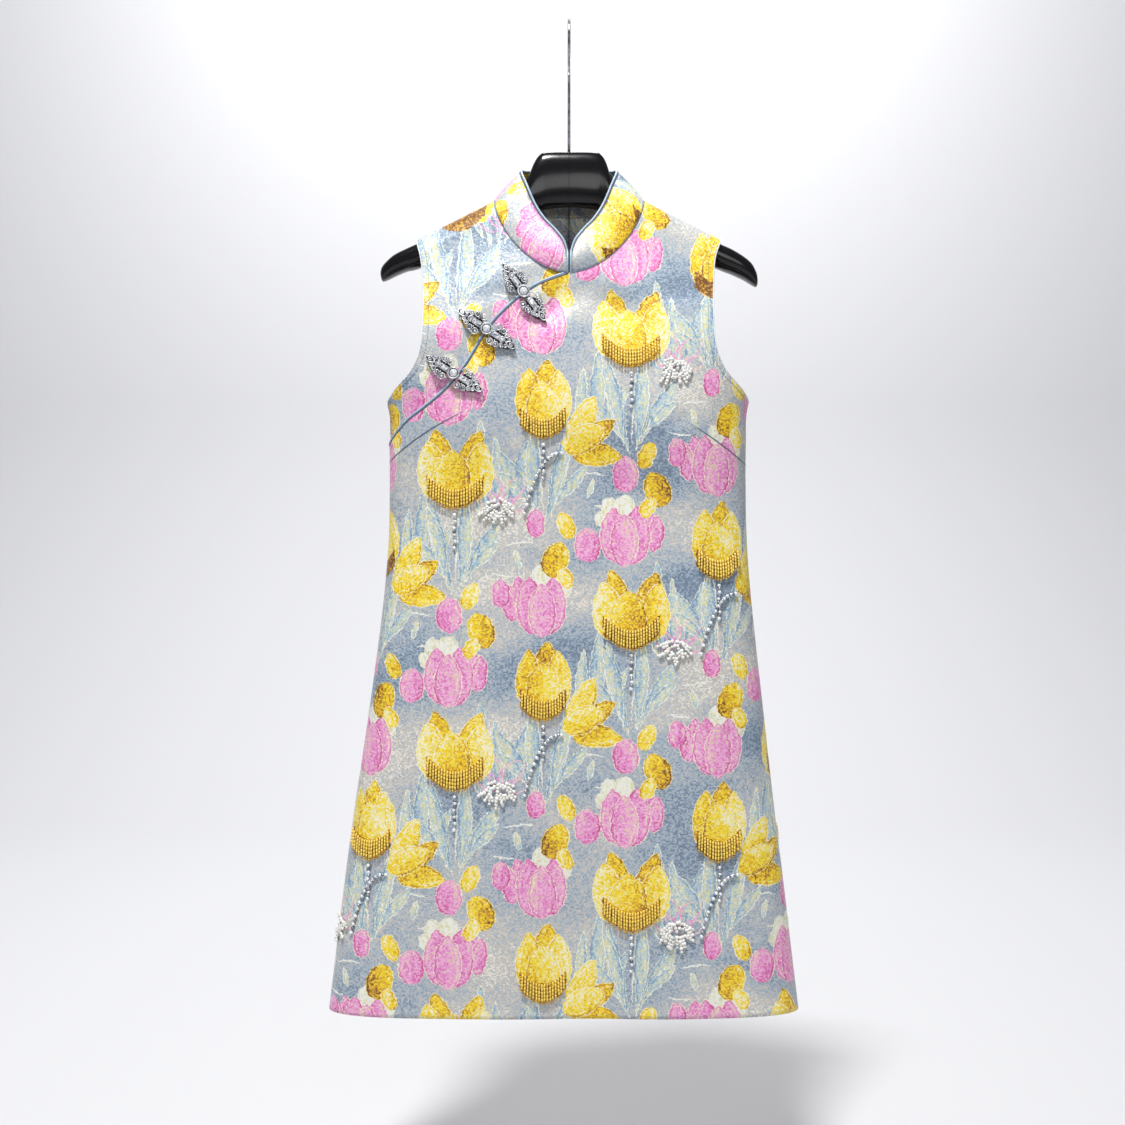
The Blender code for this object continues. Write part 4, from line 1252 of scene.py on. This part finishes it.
def add_back_seam():
    """The seam up the middle of the back and its collar, seen as a dark line of painted shade on both faces.
    """
    z = np.linspace(HEM_Z + SEAM_GAP, float(back_neck_z(0.0)) - SEAM_GAP, BACK_SEAM_STEPS)
    t = t_at_x(0.0, z)
    shares = np.linspace(0, 1, COLLAR_ROWS)
    ways = np.concatenate([cloth_normal(t, z, "back"), np.tile(outward(BACK_ANGLE), (len(shares), 1))])
    collar_line = np.array([collar_point(BACK_ANGLE, share) for share in shares]) * (0, 1, 1)
    for face, lift in (("outer", -LINE_LIFT), ("inner", LINE_LIFT - WALL)):
        path = np.concatenate([cloth(t, z, "back", lift), collar_line + outward(BACK_ANGLE) * lift])
        add_seam_shade(f"back_seam_{face}", path, ways)


def add_opening_cord():
    """The cord along the front panel's slanted edge, lying on the under-piece."""
    columns = front_columns()
    first, last = OPENING_ENDS[0], len(columns) // 2 - OPENING_ENDS[1]
    t = np.interp(np.linspace(first, last, OPENING_STEPS), np.arange(len(columns)), columns)
    z = column_top(t, front_top_z)
    reach = EDGE_RADIUS + EDGE_GAP
    edge = cloth(t, z, "front", reach - LAP_DEPTH)
    normal = edge - cloth(t, z, "front", reach - LAP_DEPTH - WALL)
    out = unit(np.cross(normal, directions(edge)))
    add_tube("opening_piping", edge + out * reach, normal, EDGE_RADIUS, PIPING, "piping", "opening_cord")
    # A dark line of painted shade below the cord, along its seam
    line = edge - out * OPENING_SEAM_IN + normal * OPENING_SEAM_RISE
    add_seam_shade("opening_piping_seam", line, normal, OPENING_SEAM_RADIUS, "piping")


def add_binding(word, sign):
    """One closed roll of bias binding round the armhole."""
    edge = sign * math.pi / 2
    shares = np.linspace(BINDING_END, 1 - BINDING_END, BINDING_STEPS)
    heights = UNDERARM_Z + (SHOULDER_TIP_Z - UNDERARM_Z) * shares
    loop, inner = [
        np.concatenate([cloth(t, heights, "front", -WALL / 2), cloth(t, heights, "back", -WALL / 2)[::-1]])
        for t in (edge, edge - sign * BINDING_INNER)
    ]
    out = square_to(directions(loop, closed=True), loop - inner)
    path = loop + out * (BINDING_RADIUS + EDGE_GAP / 2)
    name, node = f"armhole_binding_{word}_roll", f"armhole_binding_{word}"
    add_tube(name, path, out, BINDING_RADIUS, BINDING, "binding", node, sides=8, closed=True)


# Beads: rings along one, as a share of its length and a share of its radius
BUGLE = table("""
step reach
-0.5 0.55
-0.4 1
0.4 1
0.5 0.55
""")
ROUND_BEAD = table("""
step reach
-0.5 0.3
-0.42 0.62
-0.22 0.94
0 1
0.22 0.94
0.42 0.62
0.5 0.3
""")


def string_of_beads(path, normals, lengths, radii, profile, sides):
    """Beads centred on the points of a path, each lying along it."""
    along = directions(path)
    rings = rings_round(along, normals, sides)[:, None] * np.outer(radii, profile.reach)[..., None, None]
    middles = path[:, None] + along[:, None] * np.outer(lengths, profile.step)[..., None]
    faces = rod_faces(len(profile.step), sides)
    return merge([(bead.reshape(-1, 3), faces) for bead in middles[:, :, None] + rings])


def add_beads(name, strings, material, slot, *nodes):
    """One piece of beads, from each string's shape and the tints of its beads."""
    mesh = new_mesh(name, merge([shape for shape, _ in strings]), material)
    values = [np.repeat(tints, len(shape[0]) // len(tints)) for shape, tints in strings]
    layer = mesh.attributes.new("tint", "FLOAT", "POINT")
    layer.data.foreach_set("value", np.concatenate(values).astype(np.float32))
    add_piece(mesh, slot, *nodes)


# How far the print's repeats are followed
PRINT_REACH = 0.34
BELOW_HEM = 0.1
REPEAT_COLUMNS = 6
REPEAT_ROWS = 4


def repeats(step):
    """Every place of a motif on the cloth, as the print repeats it. Lengths run the print's own way."""
    origin = placed(step)
    places = []
    for column in range(-REPEAT_COLUMNS, REPEAT_COLUMNS + 1):
        for row in range(-REPEAT_ROWS, REPEAT_ROWS + 1):
            u = origin[0] + column * REPEAT_ACROSS
            z = origin[1] - row * REPEAT_DOWN - column * REPEAT_DOWN / 2
            if abs(u) < PRINT_REACH and HEM_Z - BELOW_HEM < z < TOP_LIMIT_Z:
                places.append((u, z))
    return places


# Bugle fringes
FRINGE_SEEDS = {"front": 11, "back": 12}
BUGLES = 6
BUGLE_RADIUS = 0.00103
BUGLE_SIDES = 6
BUGLE_SHARE = 0.94  # of the pitch along a strand
LAST_BUGLE = (0.62, 1.05)  # length and radius of a strand's last bead, by those of the others
SHORTEST_STRAND = 0.93
SWAY = 0.0003
SPREAD = 0.03
ROOT_RISE = 0.0016
STRAND_LIFT = 0.0013
LIFT_JITTER = 0.00012
BELLY = 0.0022
BELLY_START, BELLY_TURN = 0.15, 0.6  # shares of half a turn
BUGLE_TINT = (1.02, 0.20)  # middle and spread
LEAST_TINT = 0.4
LAST_TINT = (0.2, 0.6)


def cup_places(side):
    """Middles of the fringes' roots on one side, along the cloth and by height, with the kind of each."""
    places = [(u * MIRROR[side], z, kind) for kind, step in CUPS for u, z in repeats(step)]
    return sorted(place for place in places if has_room(*place, side))


def has_room(u, z, kind, side):
    """Whether a fringe fits on the cloth there, below the armholes and clear of the edges."""
    if z > FRINGE_TOP_Z or z - FRINGES.length[kind] < HEM_Z + HEM_CLEARANCE:
        return False
    left, right = TAPES[side].room(z)
    reach = FRINGES.half[kind] + FRINGE_CLEARANCE
    clear_of_seam = side == "front" or abs(u) > FRINGES.half[kind] + SEAM_EASE
    beside_armhole = z + FRINGES.arc[kind] > UNDERARM_Z
    clear_of_armhole = abs(u) < CHEST_REACH or not beside_armhole
    return -left + reach < u < right - reach and clear_of_seam and clear_of_armhole


def bugle_strand(place, share, side, random):
    """One strand of a fringe, share of the way from its middle to its end, with its beads' tints."""
    middle_u, middle_z, kind = place
    length = FRINGES.length[kind] * (1 - END_SHORTER * share**2) * random.uniform(SHORTEST_STRAND, 1.0)
    steps = (np.arange(BUGLES) + 0.5) / BUGLES
    u = middle_u + share * FRINGES.half[kind] * (1 + SPREAD * steps) + random.normal(0, SWAY) * steps
    z = middle_z + FRINGES.arc[kind] * share**2 + ROOT_RISE - length * steps
    belly = BELLY * np.sin(math.pi * (BELLY_START + BELLY_TURN * steps))
    lift = STRAND_LIFT + belly + random.normal(0, LIFT_JITTER)
    t = TAPES[side].t_at(u, z)
    lengths = length / BUGLES * BUGLE_SHARE * np.append(np.ones(BUGLES - 1), LAST_BUGLE[0])
    radii = BUGLE_RADIUS * np.append(np.ones(BUGLES - 1), LAST_BUGLE[1])
    path, normals = cloth(t, z, side, lift), cloth_normal(t, z, side)
    tints = np.clip(random.normal(*BUGLE_TINT, BUGLES), LEAST_TINT, 1.0)
    tints[-1] = random.uniform(*LAST_TINT)
    return string_of_beads(path, normals, lengths, radii, BUGLE, BUGLE_SIDES), tints


def add_fringes(side):
    random = np.random.default_rng(FRINGE_SEEDS[side])
    places = cup_places(side)
    strands = []
    for place in places:
        count = int(FRINGES.strands[place[2]])
        for share in (np.arange(count) + 0.5) / count * 2 - 1:
            strands.append(bugle_strand(place, share, side, random))
    nodes = [f"fringe_{side}_{number:02d}" for number in range(1, len(places) + 1)]
    add_beads(f"{side}_bugle_fringes", strands, GOLD, "gold_beads", *nodes)


# Silver bead stems, curved strands and pearl clusters, by the print's (u, z) of each bead
BEAD_RADIUS = 0.0019
BEAD_SIDES = 8
BEAD_SIZES = (0.88, 1.1)  # least and most
BEAD_LIFT = 0.9  # of the bead's radius
BEAD_LENGTH = 1.9  # by the bead's radius
BEAD_PITCH = 0.0034
TINT_JITTER = 0.2
STEM_BEADS = 11
STEM_DROP = 0.002
STEM_WAVE = 0.0006
STEM_WAVE_TURN = 300  # radians for each metre
CURVED_BEADS = 25
CURVED_FOOT = (-0.026, -0.012)  # from the bowed tulip's origin
CURVED_REACH = (0.038, 0.75)  # size and power of the curve, across and down
CURVED_DROP = (0.062, 1.8)
CLUSTER_SEED = 31
CLUSTER_DROPS = 25
CLUSTER_SIZE = (0.013, 0.011)
CLUSTER_REACH = (0.35, 1.0)
CLUSTER_TURN = 0.3
DROP_BEADS = (2, 5)  # least, and one more than the most
DROP_LEAN = (0.8, 0.3)  # outward, and its spread
DROP_RISE, DROP_SAG = 0.5, 0.7
EDGE_MARGIN = 0.010
OPENING_MARGIN = 0.046


def on_cloth(u, z, side):
    """Which spots lie on the cloth, clear of its edges and of the frogs."""
    tape = TAPES[side]
    left, right = np.array([tape.room(height) for height in z]).T
    x = x_at(tape.t_at(u, z), z)
    top = back_neck_z(x) - EDGE_MARGIN
    if side == "front":
        top = np.where(x < 0, opening_z(x) - OPENING_MARGIN, front_neck_z(x) - EDGE_MARGIN)
    between_sides = (u > EDGE_MARGIN - left) & (u < right - EDGE_MARGIN)
    return between_sides & (z < top) & (z > HEM_Z + EDGE_MARGIN)


def bead_strings(strings, side, tint, contrast, seed):
    """Strings of round beads, kept where there is cloth under them all.

    The beads' tints lie round tint, every other one lighter or darker by contrast.
    """
    random = np.random.default_rng(seed)
    kept = []
    for u, z in strings:
        u = u * MIRROR[side]
        if not on_cloth(u, z, side).all():
            continue
        t = TAPES[side].t_at(u, z)
        size = BEAD_RADIUS * random.uniform(*BEAD_SIZES, len(u))
        path, normals = cloth(t, z, side, size * BEAD_LIFT), cloth_normal(t, z, side)
        tints = tint + contrast * (1 - 2 * (np.arange(len(u)) % 2))
        tints += random.uniform(-TINT_JITTER, TINT_JITTER, len(u))
        shape = string_of_beads(path, normals, size * BEAD_LENGTH, size, ROUND_BEAD, BEAD_SIDES)
        kept.append((shape, np.clip(tints, 0.0, 1.0)))
    return kept


def stem_strings():
    """A straight stem of beads that hangs below the middle of each fringe."""
    down = np.arange(STEM_BEADS) * BEAD_PITCH
    wave = STEM_WAVE * np.sin(down * STEM_WAVE_TURN)
    strings = []
    for kind, step in CUPS:
        strings += [(u + wave, z - FRINGES.length[kind] - STEM_DROP - down) for u, z in repeats(step)]
    return strings


def curved_strings():
    """A strand that swings down from the foot of each bowed tulip."""
    share = np.linspace(0, 1, CURVED_BEADS)
    across, down = [size * share**power for size, power in (CURVED_REACH, CURVED_DROP)]
    foot = BOWED_AT[0] + CURVED_FOOT[0], BOWED_AT[1] + CURVED_FOOT[1]
    return [(u - across, z - down) for u, z in repeats(foot)]


def cluster_strings():
    """Short rows of pearls in a loose wreath at the heart of each fine bloom, its rays sagging downward."""
    random = np.random.default_rng(CLUSTER_SEED)
    strings = []
    for u, z in repeats(BLOOM_AT):
        for k in range(CLUSTER_DROPS):
            angle = math.tau * (k + random.uniform(-CLUSTER_TURN, CLUSTER_TURN)) / CLUSTER_DROPS
            steps = np.arange(random.integers(*DROP_BEADS)) * BEAD_PITCH
            reach = random.uniform(*CLUSTER_REACH)
            way = np.array([math.cos(angle), math.sin(angle)])
            top = (u, z) + way * CLUSTER_SIZE * reach
            lean = random.normal(DROP_LEAN[0] * way[0], DROP_LEAN[1])
            fall = unit(np.array([lean, DROP_RISE * way[1] - DROP_SAG]))
            strings.append(tuple(top[:, None] + fall[:, None] * steps))
    return strings


def add_bead_work(side):
    silver = bead_strings(stem_strings() + curved_strings(), side, tint=0.58, contrast=0.38, seed=21)
    add_beads(f"{side}_bead_stems", silver, SILVER_BEADS, "silver_beads")
    pearls = bead_strings(cluster_strings(), side, tint=0.8, contrast=0.1, seed=22)
    add_beads(f"{side}_pearl_drops", pearls, PEARL, "pearl")


# Stitches and darts
ARMHOLE_STITCH_INSET = 0.0052
STITCH_ENDS = (0.006, 0.002)  # left free at the underarm and at the shoulder
STITCH_STEPS = 120
STITCH_LENGTH = 0.0026
STITCH_GAP = 0.0008
STITCH_SIDES = 5
THREAD_RADIUS = 0.00022
DART_STEPS = 40
DART_RADIUS = 0.00055
DART_FADE = 6
DART_TIP_RADIUS = 0.0001


def stitches(path, normals):
    """Short thread stitches laid along a path on the cloth."""
    run = run_along(path)
    count = max(int(run[-1] / (STITCH_LENGTH + STITCH_GAP)), 1)
    middles = (np.arange(count) + 0.5) * run[-1] / count
    spots, ways = [
        np.stack([np.interp(middles, run, values) for values in line.T], -1) for line in (path, normals)
    ]
    sizes = np.full(count, STITCH_LENGTH), np.full(count, THREAD_RADIUS)
    return string_of_beads(spots, ways, *sizes, BUGLE, STITCH_SIDES)


def add_armhole_stitches(word, sign):
    lines = []
    z = np.linspace(UNDERARM_Z + STITCH_ENDS[0], SHOULDER_TIP_Z - STITCH_ENDS[1], STITCH_STEPS)
    for side, tape in TAPES.items():
        room = np.array([tape.room(height)[sign > 0] for height in z])
        t = tape.t_at(sign * (room - ARMHOLE_STITCH_INSET), z)
        level = lap_lift(t, z) if side == "front" and sign < 0 else np.zeros(len(z))
        lines.append(stitches(cloth(t, z, side, level + THREAD_RADIUS / 2), cloth_normal(t, z, side)))
    add_piece(new_mesh(f"armhole_stitches_{word}", merge(lines), SEAM_SHADE_AND_THREAD), "brocade")


def bend_through(foot, middle, tip, share):
    """A smooth bend that starts at foot, passes middle halfway and ends at tip."""
    handle = 2 * middle - (foot + tip) / 2
    return foot * (1 - share) ** 2 + handle * 2 * share * (1 - share) + tip * share**2


def add_dart(k):
    """The seam line of one bust dart, a dark line of painted shade fading into the cloth at its tip."""
    share = np.linspace(0, 1, DART_STEPS)
    x = bend_through(DARTS.x[k], DARTS.middle_x[k], DARTS.tip_x[k], share)
    z = bend_through(DARTS.z[k], DARTS.middle_z[k], DARTS.tip_z[k], share)
    t = t_at_x(x, z)
    radius = DART_RADIUS * (1 - share**DART_FADE) + DART_TIP_RADIUS
    add_seam_shade(f"bust_dart_{k + 1}", cloth(t, z, "front", -LINE_LIFT), cloth_normal(t, z, "front"), radius)


# Frogs, in their own sizes: along from the frog's middle, aside, height over the cloth. In mm.
STONES = table("""
along aside radius ring base
9.8 8.6 1.6 3.1 4.9
9.8 -8.6 1.6 3.1 4.9
17 7.9 1.4 2.6 4.8
17 -7.9 1.4 2.6 4.8
20.6 0 2 2.8 5.2
22.6 5.7 1 2 4.6
22.6 -5.7 1 2 4.6
27.2 3.7 0.8 1.6 4.4
27.2 -3.7 0.8 1.6 4.4
""")
STONE_CUT = ((1.0, 0.0), (0.94, 0.405), (0.52, 0.855))  # rings of a stone by its radius: reach, rise
STONE_SIDES = 8
GRAINS = ((13.6, 11.0), (20.2, 9.2), (25.2, 6.3), (5.6, 7.6), (25.4, 0.5), (13.8, 5.2))  # on both sides
GRAIN_CUT = ((1.0, -0.2), (0.85, 0.5), (0.4, 0.92))
GRAIN_RADIUS = 0.95
GRAIN_SIDES = 8
BAGUETTE_MIDDLE = 12.2
BAGUETTE_HALF = (4.7, 2.0)
BAGUETTE_CUT = ((5.0, 1.0, 1.0), (6.3, 1.0, 1.0), (7.0, 0.86, 0.58))  # height, shares of the half sizes
RIM_CUT = (5.6, 1.1, 1.25)
RIM_STEPS = 5
RIM_WIRE = 0.45
NAVETTE = (31.6, 5.3, 2.8)  # middle, half length, half width of the open loop at the tip
NAVETTE_STEPS = 28
NAVETTE_POINT = 0.25
NAVETTE_INNER = 0.36
WIRE_MM = 0.66
WIRE_SIDES = 6
WIRE_HEIGHT = 4.9
RING_STEPS = 18
WING_START = 5.6
WING_HALF_WIDTH = 11.8
LOBES = 6
LOBE_DEPTH = 0.07
POINT_LENGTH = 0.10
WING_TAPER = 0.42
PLATE_SIDES = 60
PLATE_SLIM = 0.30  # how much the plate narrows to its tip, inside its wires
UNDERSIDE = -99.0
PLATE_RINGS = ((0.86, UNDERSIDE), (0.86, 2.9), (0.82, 3.6), (0.68, 3.9), (0.4, 4.3))  # share, height
BUTTON_REACH = 6.1
BUTTON_FOOT = 6.0
BUTTON_RIM = 6.8
BUTTON_SIDES = 24
SETTING = (28, 0, 0, 5.5, 7.6)  # steps, middle, radius, height
SETTING_WIRE = 0.75
DOME_RADIUS = 4.2
DOME_FOOT = 7.0
DOME_RISE = 3.2
DOME_RINGS = 7


def ring(steps, along, aside, radius, height, offset=0.0):
    angle = turns(steps, offset)
    x, y = along + radius * np.cos(angle), aside + radius * np.sin(angle)
    return np.stack([x, y, np.full(steps, height)], -1)


def wire(path, radius=WIRE_MM):
    return tube(path, np.tile([0.0, 0.0, 1.0], (len(path), 1)), radius, WIRE_SIDES, closed=True)


def cut_stone(along, aside, radius, base, sides=STONE_SIDES):
    """A round stone with a flat table and a faceted crown."""
    points = [
        ring(sides, along, aside, radius * reach, base + radius * rise, 0.5 * level)
        for level, (reach, rise) in enumerate(STONE_CUT)
    ]
    faces = []
    for low in (0, sides):
        for k in range(sides):
            a, b = low + k, low + (k + 1) % sides
            faces += [(a, b, a + sides), (b, b + sides, a + sides)]
    faces.append(tuple(range(2 * sides, 3 * sides)))
    return np.concatenate(points), faces


def baguette_corners(height, long, wide):
    half, width = BAGUETTE_HALF[0] * long, BAGUETTE_HALF[1] * wide
    signs = ((-1, -1), (1, -1), (1, 1), (-1, 1))
    return np.array([(BAGUETTE_MIDDLE + x * half, y * width, height) for x, y in signs])


def baguette():
    """The long stone, up to its flat table."""
    points = np.concatenate([baguette_corners(*level) for level in BAGUETTE_CUT])
    return points, ring_faces(len(BAGUETTE_CUT), 4) + [tuple(range(len(points) - 4, len(points)))]


def baguette_rim():
    corners = baguette_corners(*RIM_CUT)
    after = np.roll(corners, -1, axis=0)
    return np.linspace(corners, after, RIM_STEPS, endpoint=False).transpose(1, 0, 2).reshape(-1, 3)


def grain(along, aside):
    """A small cast grain."""
    rings = [
        ring(GRAIN_SIDES, along, aside, GRAIN_RADIUS * reach, WIRE_HEIGHT + GRAIN_RADIUS * rise)
        for reach, rise in GRAIN_CUT
    ]
    return dome(rings, (along, aside, WIRE_HEIGHT + GRAIN_RADIUS))


def wing_outline(frog, share, height):
    """The lobed outline of a wing as the CAD model has it, a little slimmer towards the tip."""
    half = (FROGS.length[frog] / MM / 2 - WING_START) / 2
    angle = turns(PLATE_SIDES)
    lobes = 1 + LOBE_DEPTH * np.cos(LOBES * angle)
    point = 1 + POINT_LENGTH * np.maximum(0, np.cos(angle)) ** LOBES
    along = half * share * np.cos(angle) * point * lobes
    slim = 1 - PLATE_SLIM * (1 + along / half) / 2
    aside = WING_HALF_WIDTH * share * np.sin(angle) * lobes * (1 - WING_TAPER * np.cos(angle)) * slim
    return np.stack([WING_START + half + along, aside, np.full(PLATE_SIDES, height)], -1)


def wing_plate(frog):
    """The darkened cast plate under one wing."""
    rings = [wing_outline(frog, share, height) for share, height in PLATE_RINGS]
    points, faces = dome(rings, rings[-1].mean(axis=0))
    return points, [tuple(range(PLATE_SIDES))[::-1], *faces]


def navette_loop(share):
    """A pointed oval, which the tip of a wing ends in."""
    middle, half, width = NAVETTE
    angle = turns(NAVETTE_STEPS)
    along = middle + half * share * np.cos(angle)
    aside = width * share * np.sin(angle) * np.abs(np.sin(angle)) ** NAVETTE_POINT
    return np.stack([along, aside, np.full(NAVETTE_STEPS, WIRE_HEIGHT)], -1)


def fitted(frog, shape):
    """A wing's shape, drawn for the longest frog, at another frog's length."""
    points, faces = shape
    return points * (FROGS.length[frog] / FROGS.length[0], 1, 1), faces


def wing_wires(frog):
    """The raised filigree: rings round the stones, grains, the baguette's rim and the loop at the tip."""
    rows = zip(STONES.along, STONES.aside, STONES.ring, STONES.base)
    parts = [wire(ring(RING_STEPS, *row)) for row in rows]
    parts += [wire(navette_loop(share)) for share in (1.0, NAVETTE_INNER)]
    parts.append(wire(baguette_rim(), RIM_WIRE))
    parts += [grain(along, side * aside) for along, aside in GRAINS for side in (-1, 1)]
    return fitted(frog, merge(parts))


def wing_stones(frog):
    rows = zip(STONES.along, STONES.aside, STONES.radius, STONES.base)
    return fitted(frog, merge([*[cut_stone(*row) for row in rows], baguette()]))


def button_seat():
    points, faces = cut_stone(0, 0, BUTTON_REACH, BUTTON_FOOT, BUTTON_SIDES)
    return np.minimum(points, (np.inf, np.inf, BUTTON_RIM)), faces


def centre_stone():
    """A smooth round dome."""
    rings = [
        ring(BUTTON_SIDES, 0, 0, DOME_RADIUS * math.cos(lean), DOME_FOOT + DOME_RISE * math.sin(lean))
        for lean in np.linspace(0, math.pi / 2, DOME_RINGS, endpoint=False)
    ]
    return dome(rings, (0, 0, DOME_FOOT + DOME_RISE))


def on_frog(frog, wing, points):
    """Takes points in a frog's own mm onto the cloth. wing is -1 for the upper half, 1 for the lower."""
    slant = math.radians(FROGS.slant[frog])
    along, aside, height = (points * MM).T
    x = FROGS.x[frog] + wing * (along * math.cos(slant)) + aside * math.sin(slant)
    z = FROGS.z[frog] - wing * (along * math.sin(slant)) + aside * math.cos(slant)
    t = t_at_x(x, z)
    under = (lap_lift(t, z) if wing < 0 else 0.0) + REST_GAP
    return cloth(t, z, "front", np.where(height < UNDERSIDE * MM / 2, under, height))


def add_frog_part(name, frog, wing, shape, material, slot, *nodes):
    points, faces = shape
    faces = [face[::-1] for face in faces] if wing > 0 else faces
    mesh = new_mesh(name, (on_frog(frog, wing, points), faces), material)
    if slot == "stones":
        mesh.shade_flat()
    add_piece(mesh, slot, *nodes)


def add_frog(frog):
    name = f"frog_{frog + 1}"
    metal = "antique_silver"
    for word, wing in (("upper", -1), ("lower", 1)):
        half = f"{name}_{word}"
        add_frog_part(f"{half}_plate", frog, wing, wing_plate(frog), DARK_SILVER, metal, f"{half}_wing")
        add_frog_part(f"{half}_filigree", frog, wing, wing_wires(frog), SILVER, metal)
        add_frog_part(f"{half}_stones", frog, wing, wing_stones(frog), CRYSTAL, "stones")
    add_frog_part(f"{name}_seat", frog, 1, button_seat(), DARK_SILVER, metal, f"{name}_button")
    add_frog_part(f"{name}_setting", frog, 1, wire(ring(*SETTING), SETTING_WIRE), SILVER, metal)
    add_frog_part(f"{name}_centre_stone", frog, 1, centre_stone(), MILKY, "pearl")


# Hanger


def rounded(wave):
    """A sine or cosine wave, brought from a circle's towards a rounded box's."""
    return np.sign(wave) * np.abs(wave) ** (2 / HANGER_ROUNDNESS)


def add_hanger():
    """The moulded hanger, lofted through its sections, with the fine ridge of its mould line."""
    index = np.arange(len(HANGER.x))
    at = np.linspace(0, index[-1], HANGER_SECTIONS)
    x, top, bottom, depth = [curve_through(index, column, at)[:, None] for column in vars(HANGER).values()]
    angle = turns(HANGER_RING, 0.5)
    y = depth * rounded(np.cos(angle))
    z = (top + bottom) / 2 + (top - bottom) / 2 * rounded(np.sin(angle))
    rings = np.stack([np.broadcast_to(x, y.shape), y, z], -1)
    faces = [face[::-1] for face in rod_faces(HANGER_SECTIONS, HANGER_RING)]
    mesh = new_mesh("hanger_moulding", (rings.reshape(-1, 3), faces), PLASTIC)
    add_piece(mesh, "hanger_plastic", "hanger_body")

    ridge = rings[np.argmin(np.abs(x))]
    path, out, radius = ridge * (0, 1, 1), ridge - ridge.mean(axis=0), MOULD_LINE_RADIUS
    add_tube("hanger_mould_line", path, out, radius, PLASTIC, "hanger_plastic", sides=6, closed=True)


def on_bend(degrees):
    """Points (y, z) of the hook's round bend."""
    angle = np.radians(degrees)
    return np.stack([np.cos(angle), np.sin(angle)], -1) * HOOK_RADIUS + (0, WIRE_RADIUS - HOOK_RADIUS)


def add_hook():
    """A wire that rises from the hanger, swings out and bends over the origin."""
    foot_z = WIRE_RADIUS - 2 * HOOK_RADIUS
    straight = [(0.0, z) for z in np.linspace(HOOK_FOOT_Z, foot_z - HOOK_NECK, HOOK_STEPS[0])]
    share = np.linspace(*SWING_BLEND, HOOK_STEPS[1])
    swing = on_bend(SWING_TURN[0] + (SWING_TURN[1] - SWING_TURN[0]) * share)
    swing = (0.0, foot_z - SWING_START) + (swing - (0.0, foot_z - SWING_START)) * smooth_step(share)[:, None]
    path = np.concatenate([straight, swing, on_bend(np.linspace(*BEND_TURN, HOOK_STEPS[2]))])
    path = np.insert(path, 0, 0.0, axis=1)
    out = np.tile([1.0, 0.0, 0.0], (len(path), 1))
    add_tube("hook_wire", path, out, WIRE_RADIUS, STEEL, "hook_steel", "hanger_hook", sides=14)


# Stage

FLOOR_Z = -1.25
BACK_Y = 3.4
STAGE_HALF = 5.0
STAGE_FRONT = -4.5
COVE_RADIUS = 1.2
COVE_STEPS = 17
STAGE_TOP = 3.6

# The camera stands where the photo was taken from
CAMERA_PLACE = (-0.0069, -1.6, -0.5735)
CAMERA_REACH = 0.59625  # half the view's height in the plane of the side seams
DRESS_MIDDLE = (0, 0, -0.55)
SKY_COLOUR = (0.9, 0.93, 1.0, 1.0)
SKY_STRENGTH = 0.20


def add_stage():
    """A floor that curves up into a wall."""
    profile = [(STAGE_FRONT, FLOOR_Z)]
    for angle in np.linspace(0, math.pi / 2, COVE_STEPS):
        y = BACK_Y - COVE_RADIUS * (1 - math.sin(angle))
        profile.append((y, FLOOR_Z + COVE_RADIUS * (1 - math.cos(angle))))
    profile.append((BACK_Y, STAGE_TOP))
    points = [(x, y, z) for x in (-STAGE_HALF, STAGE_HALF) for y, z in profile]
    paper = Sketch("Studio_paper", Base_Color=rgb(206, 206, 208), Roughness=0.9).material
    sweep = new_mesh("studio_sweep", (points, grid_faces(2, len(profile), flip=True)), paper)
    in_scene("studio_sweep", sweep)


def add_light(name, place, target, size, power):
    light = bpy.data.lights.new(name, "AREA")
    light.shape, light.size, light.energy = "DISK", size, power
    thing = in_scene(name, light)
    thing.location = place
    thing.rotation_euler = (Vector(target) - Vector(place)).to_track_quat("-Z", "Y").to_euler()


def add_camera():
    data = bpy.data.cameras.new("camera")
    data.angle = 2 * math.atan(CAMERA_REACH / -CAMERA_PLACE[1])
    camera = in_scene("camera", data)
    camera.location = CAMERA_PLACE
    camera.rotation_euler = (math.pi / 2, 0, 0)
    bpy.context.scene.camera = camera


def set_light():
    add_light("key", place=(-0.45, -1.50, 2.60), target=DRESS_MIDDLE, size=0.55, power=152)
    add_light("fill", place=(0.25, -2.3, 0.20), target=DRESS_MIDDLE, size=0.8, power=5)
    add_light("back_light", place=(0.0, 1.8, 2.6), target=(0, BACK_Y, -0.4), size=1.6, power=110)
    world = bpy.data.worlds.new("studio")
    world.use_nodes = True
    sky = world.node_tree.nodes["Background"].inputs
    sky["Color"].default_value, sky["Strength"].default_value = SKY_COLOUR, SKY_STRENGTH
    bpy.context.scene.world = world
    bpy.context.scene.view_settings.view_transform = "Standard"


add_camera()
set_light()
add_stage()
add_front_shell()
add_under_shell()
add_back_shells()
for hand, hand_sign in HANDS:
    add_collar(hand, hand_sign)
    add_collar_cord(hand, hand_sign)
    add_neck_seam(hand, hand_sign)
    add_binding(hand, hand_sign)
    add_armhole_stitches(hand, hand_sign)
add_opening_cord()
add_back_seam()
for dart in range(len(DARTS.x)):
    add_dart(dart)
for frog_number in range(len(FROGS.x)):
    add_frog(frog_number)
for cloth_side in ("front", "back"):
    add_fringes(cloth_side)
    add_bead_work(cloth_side)
add_hanger()
add_hook()
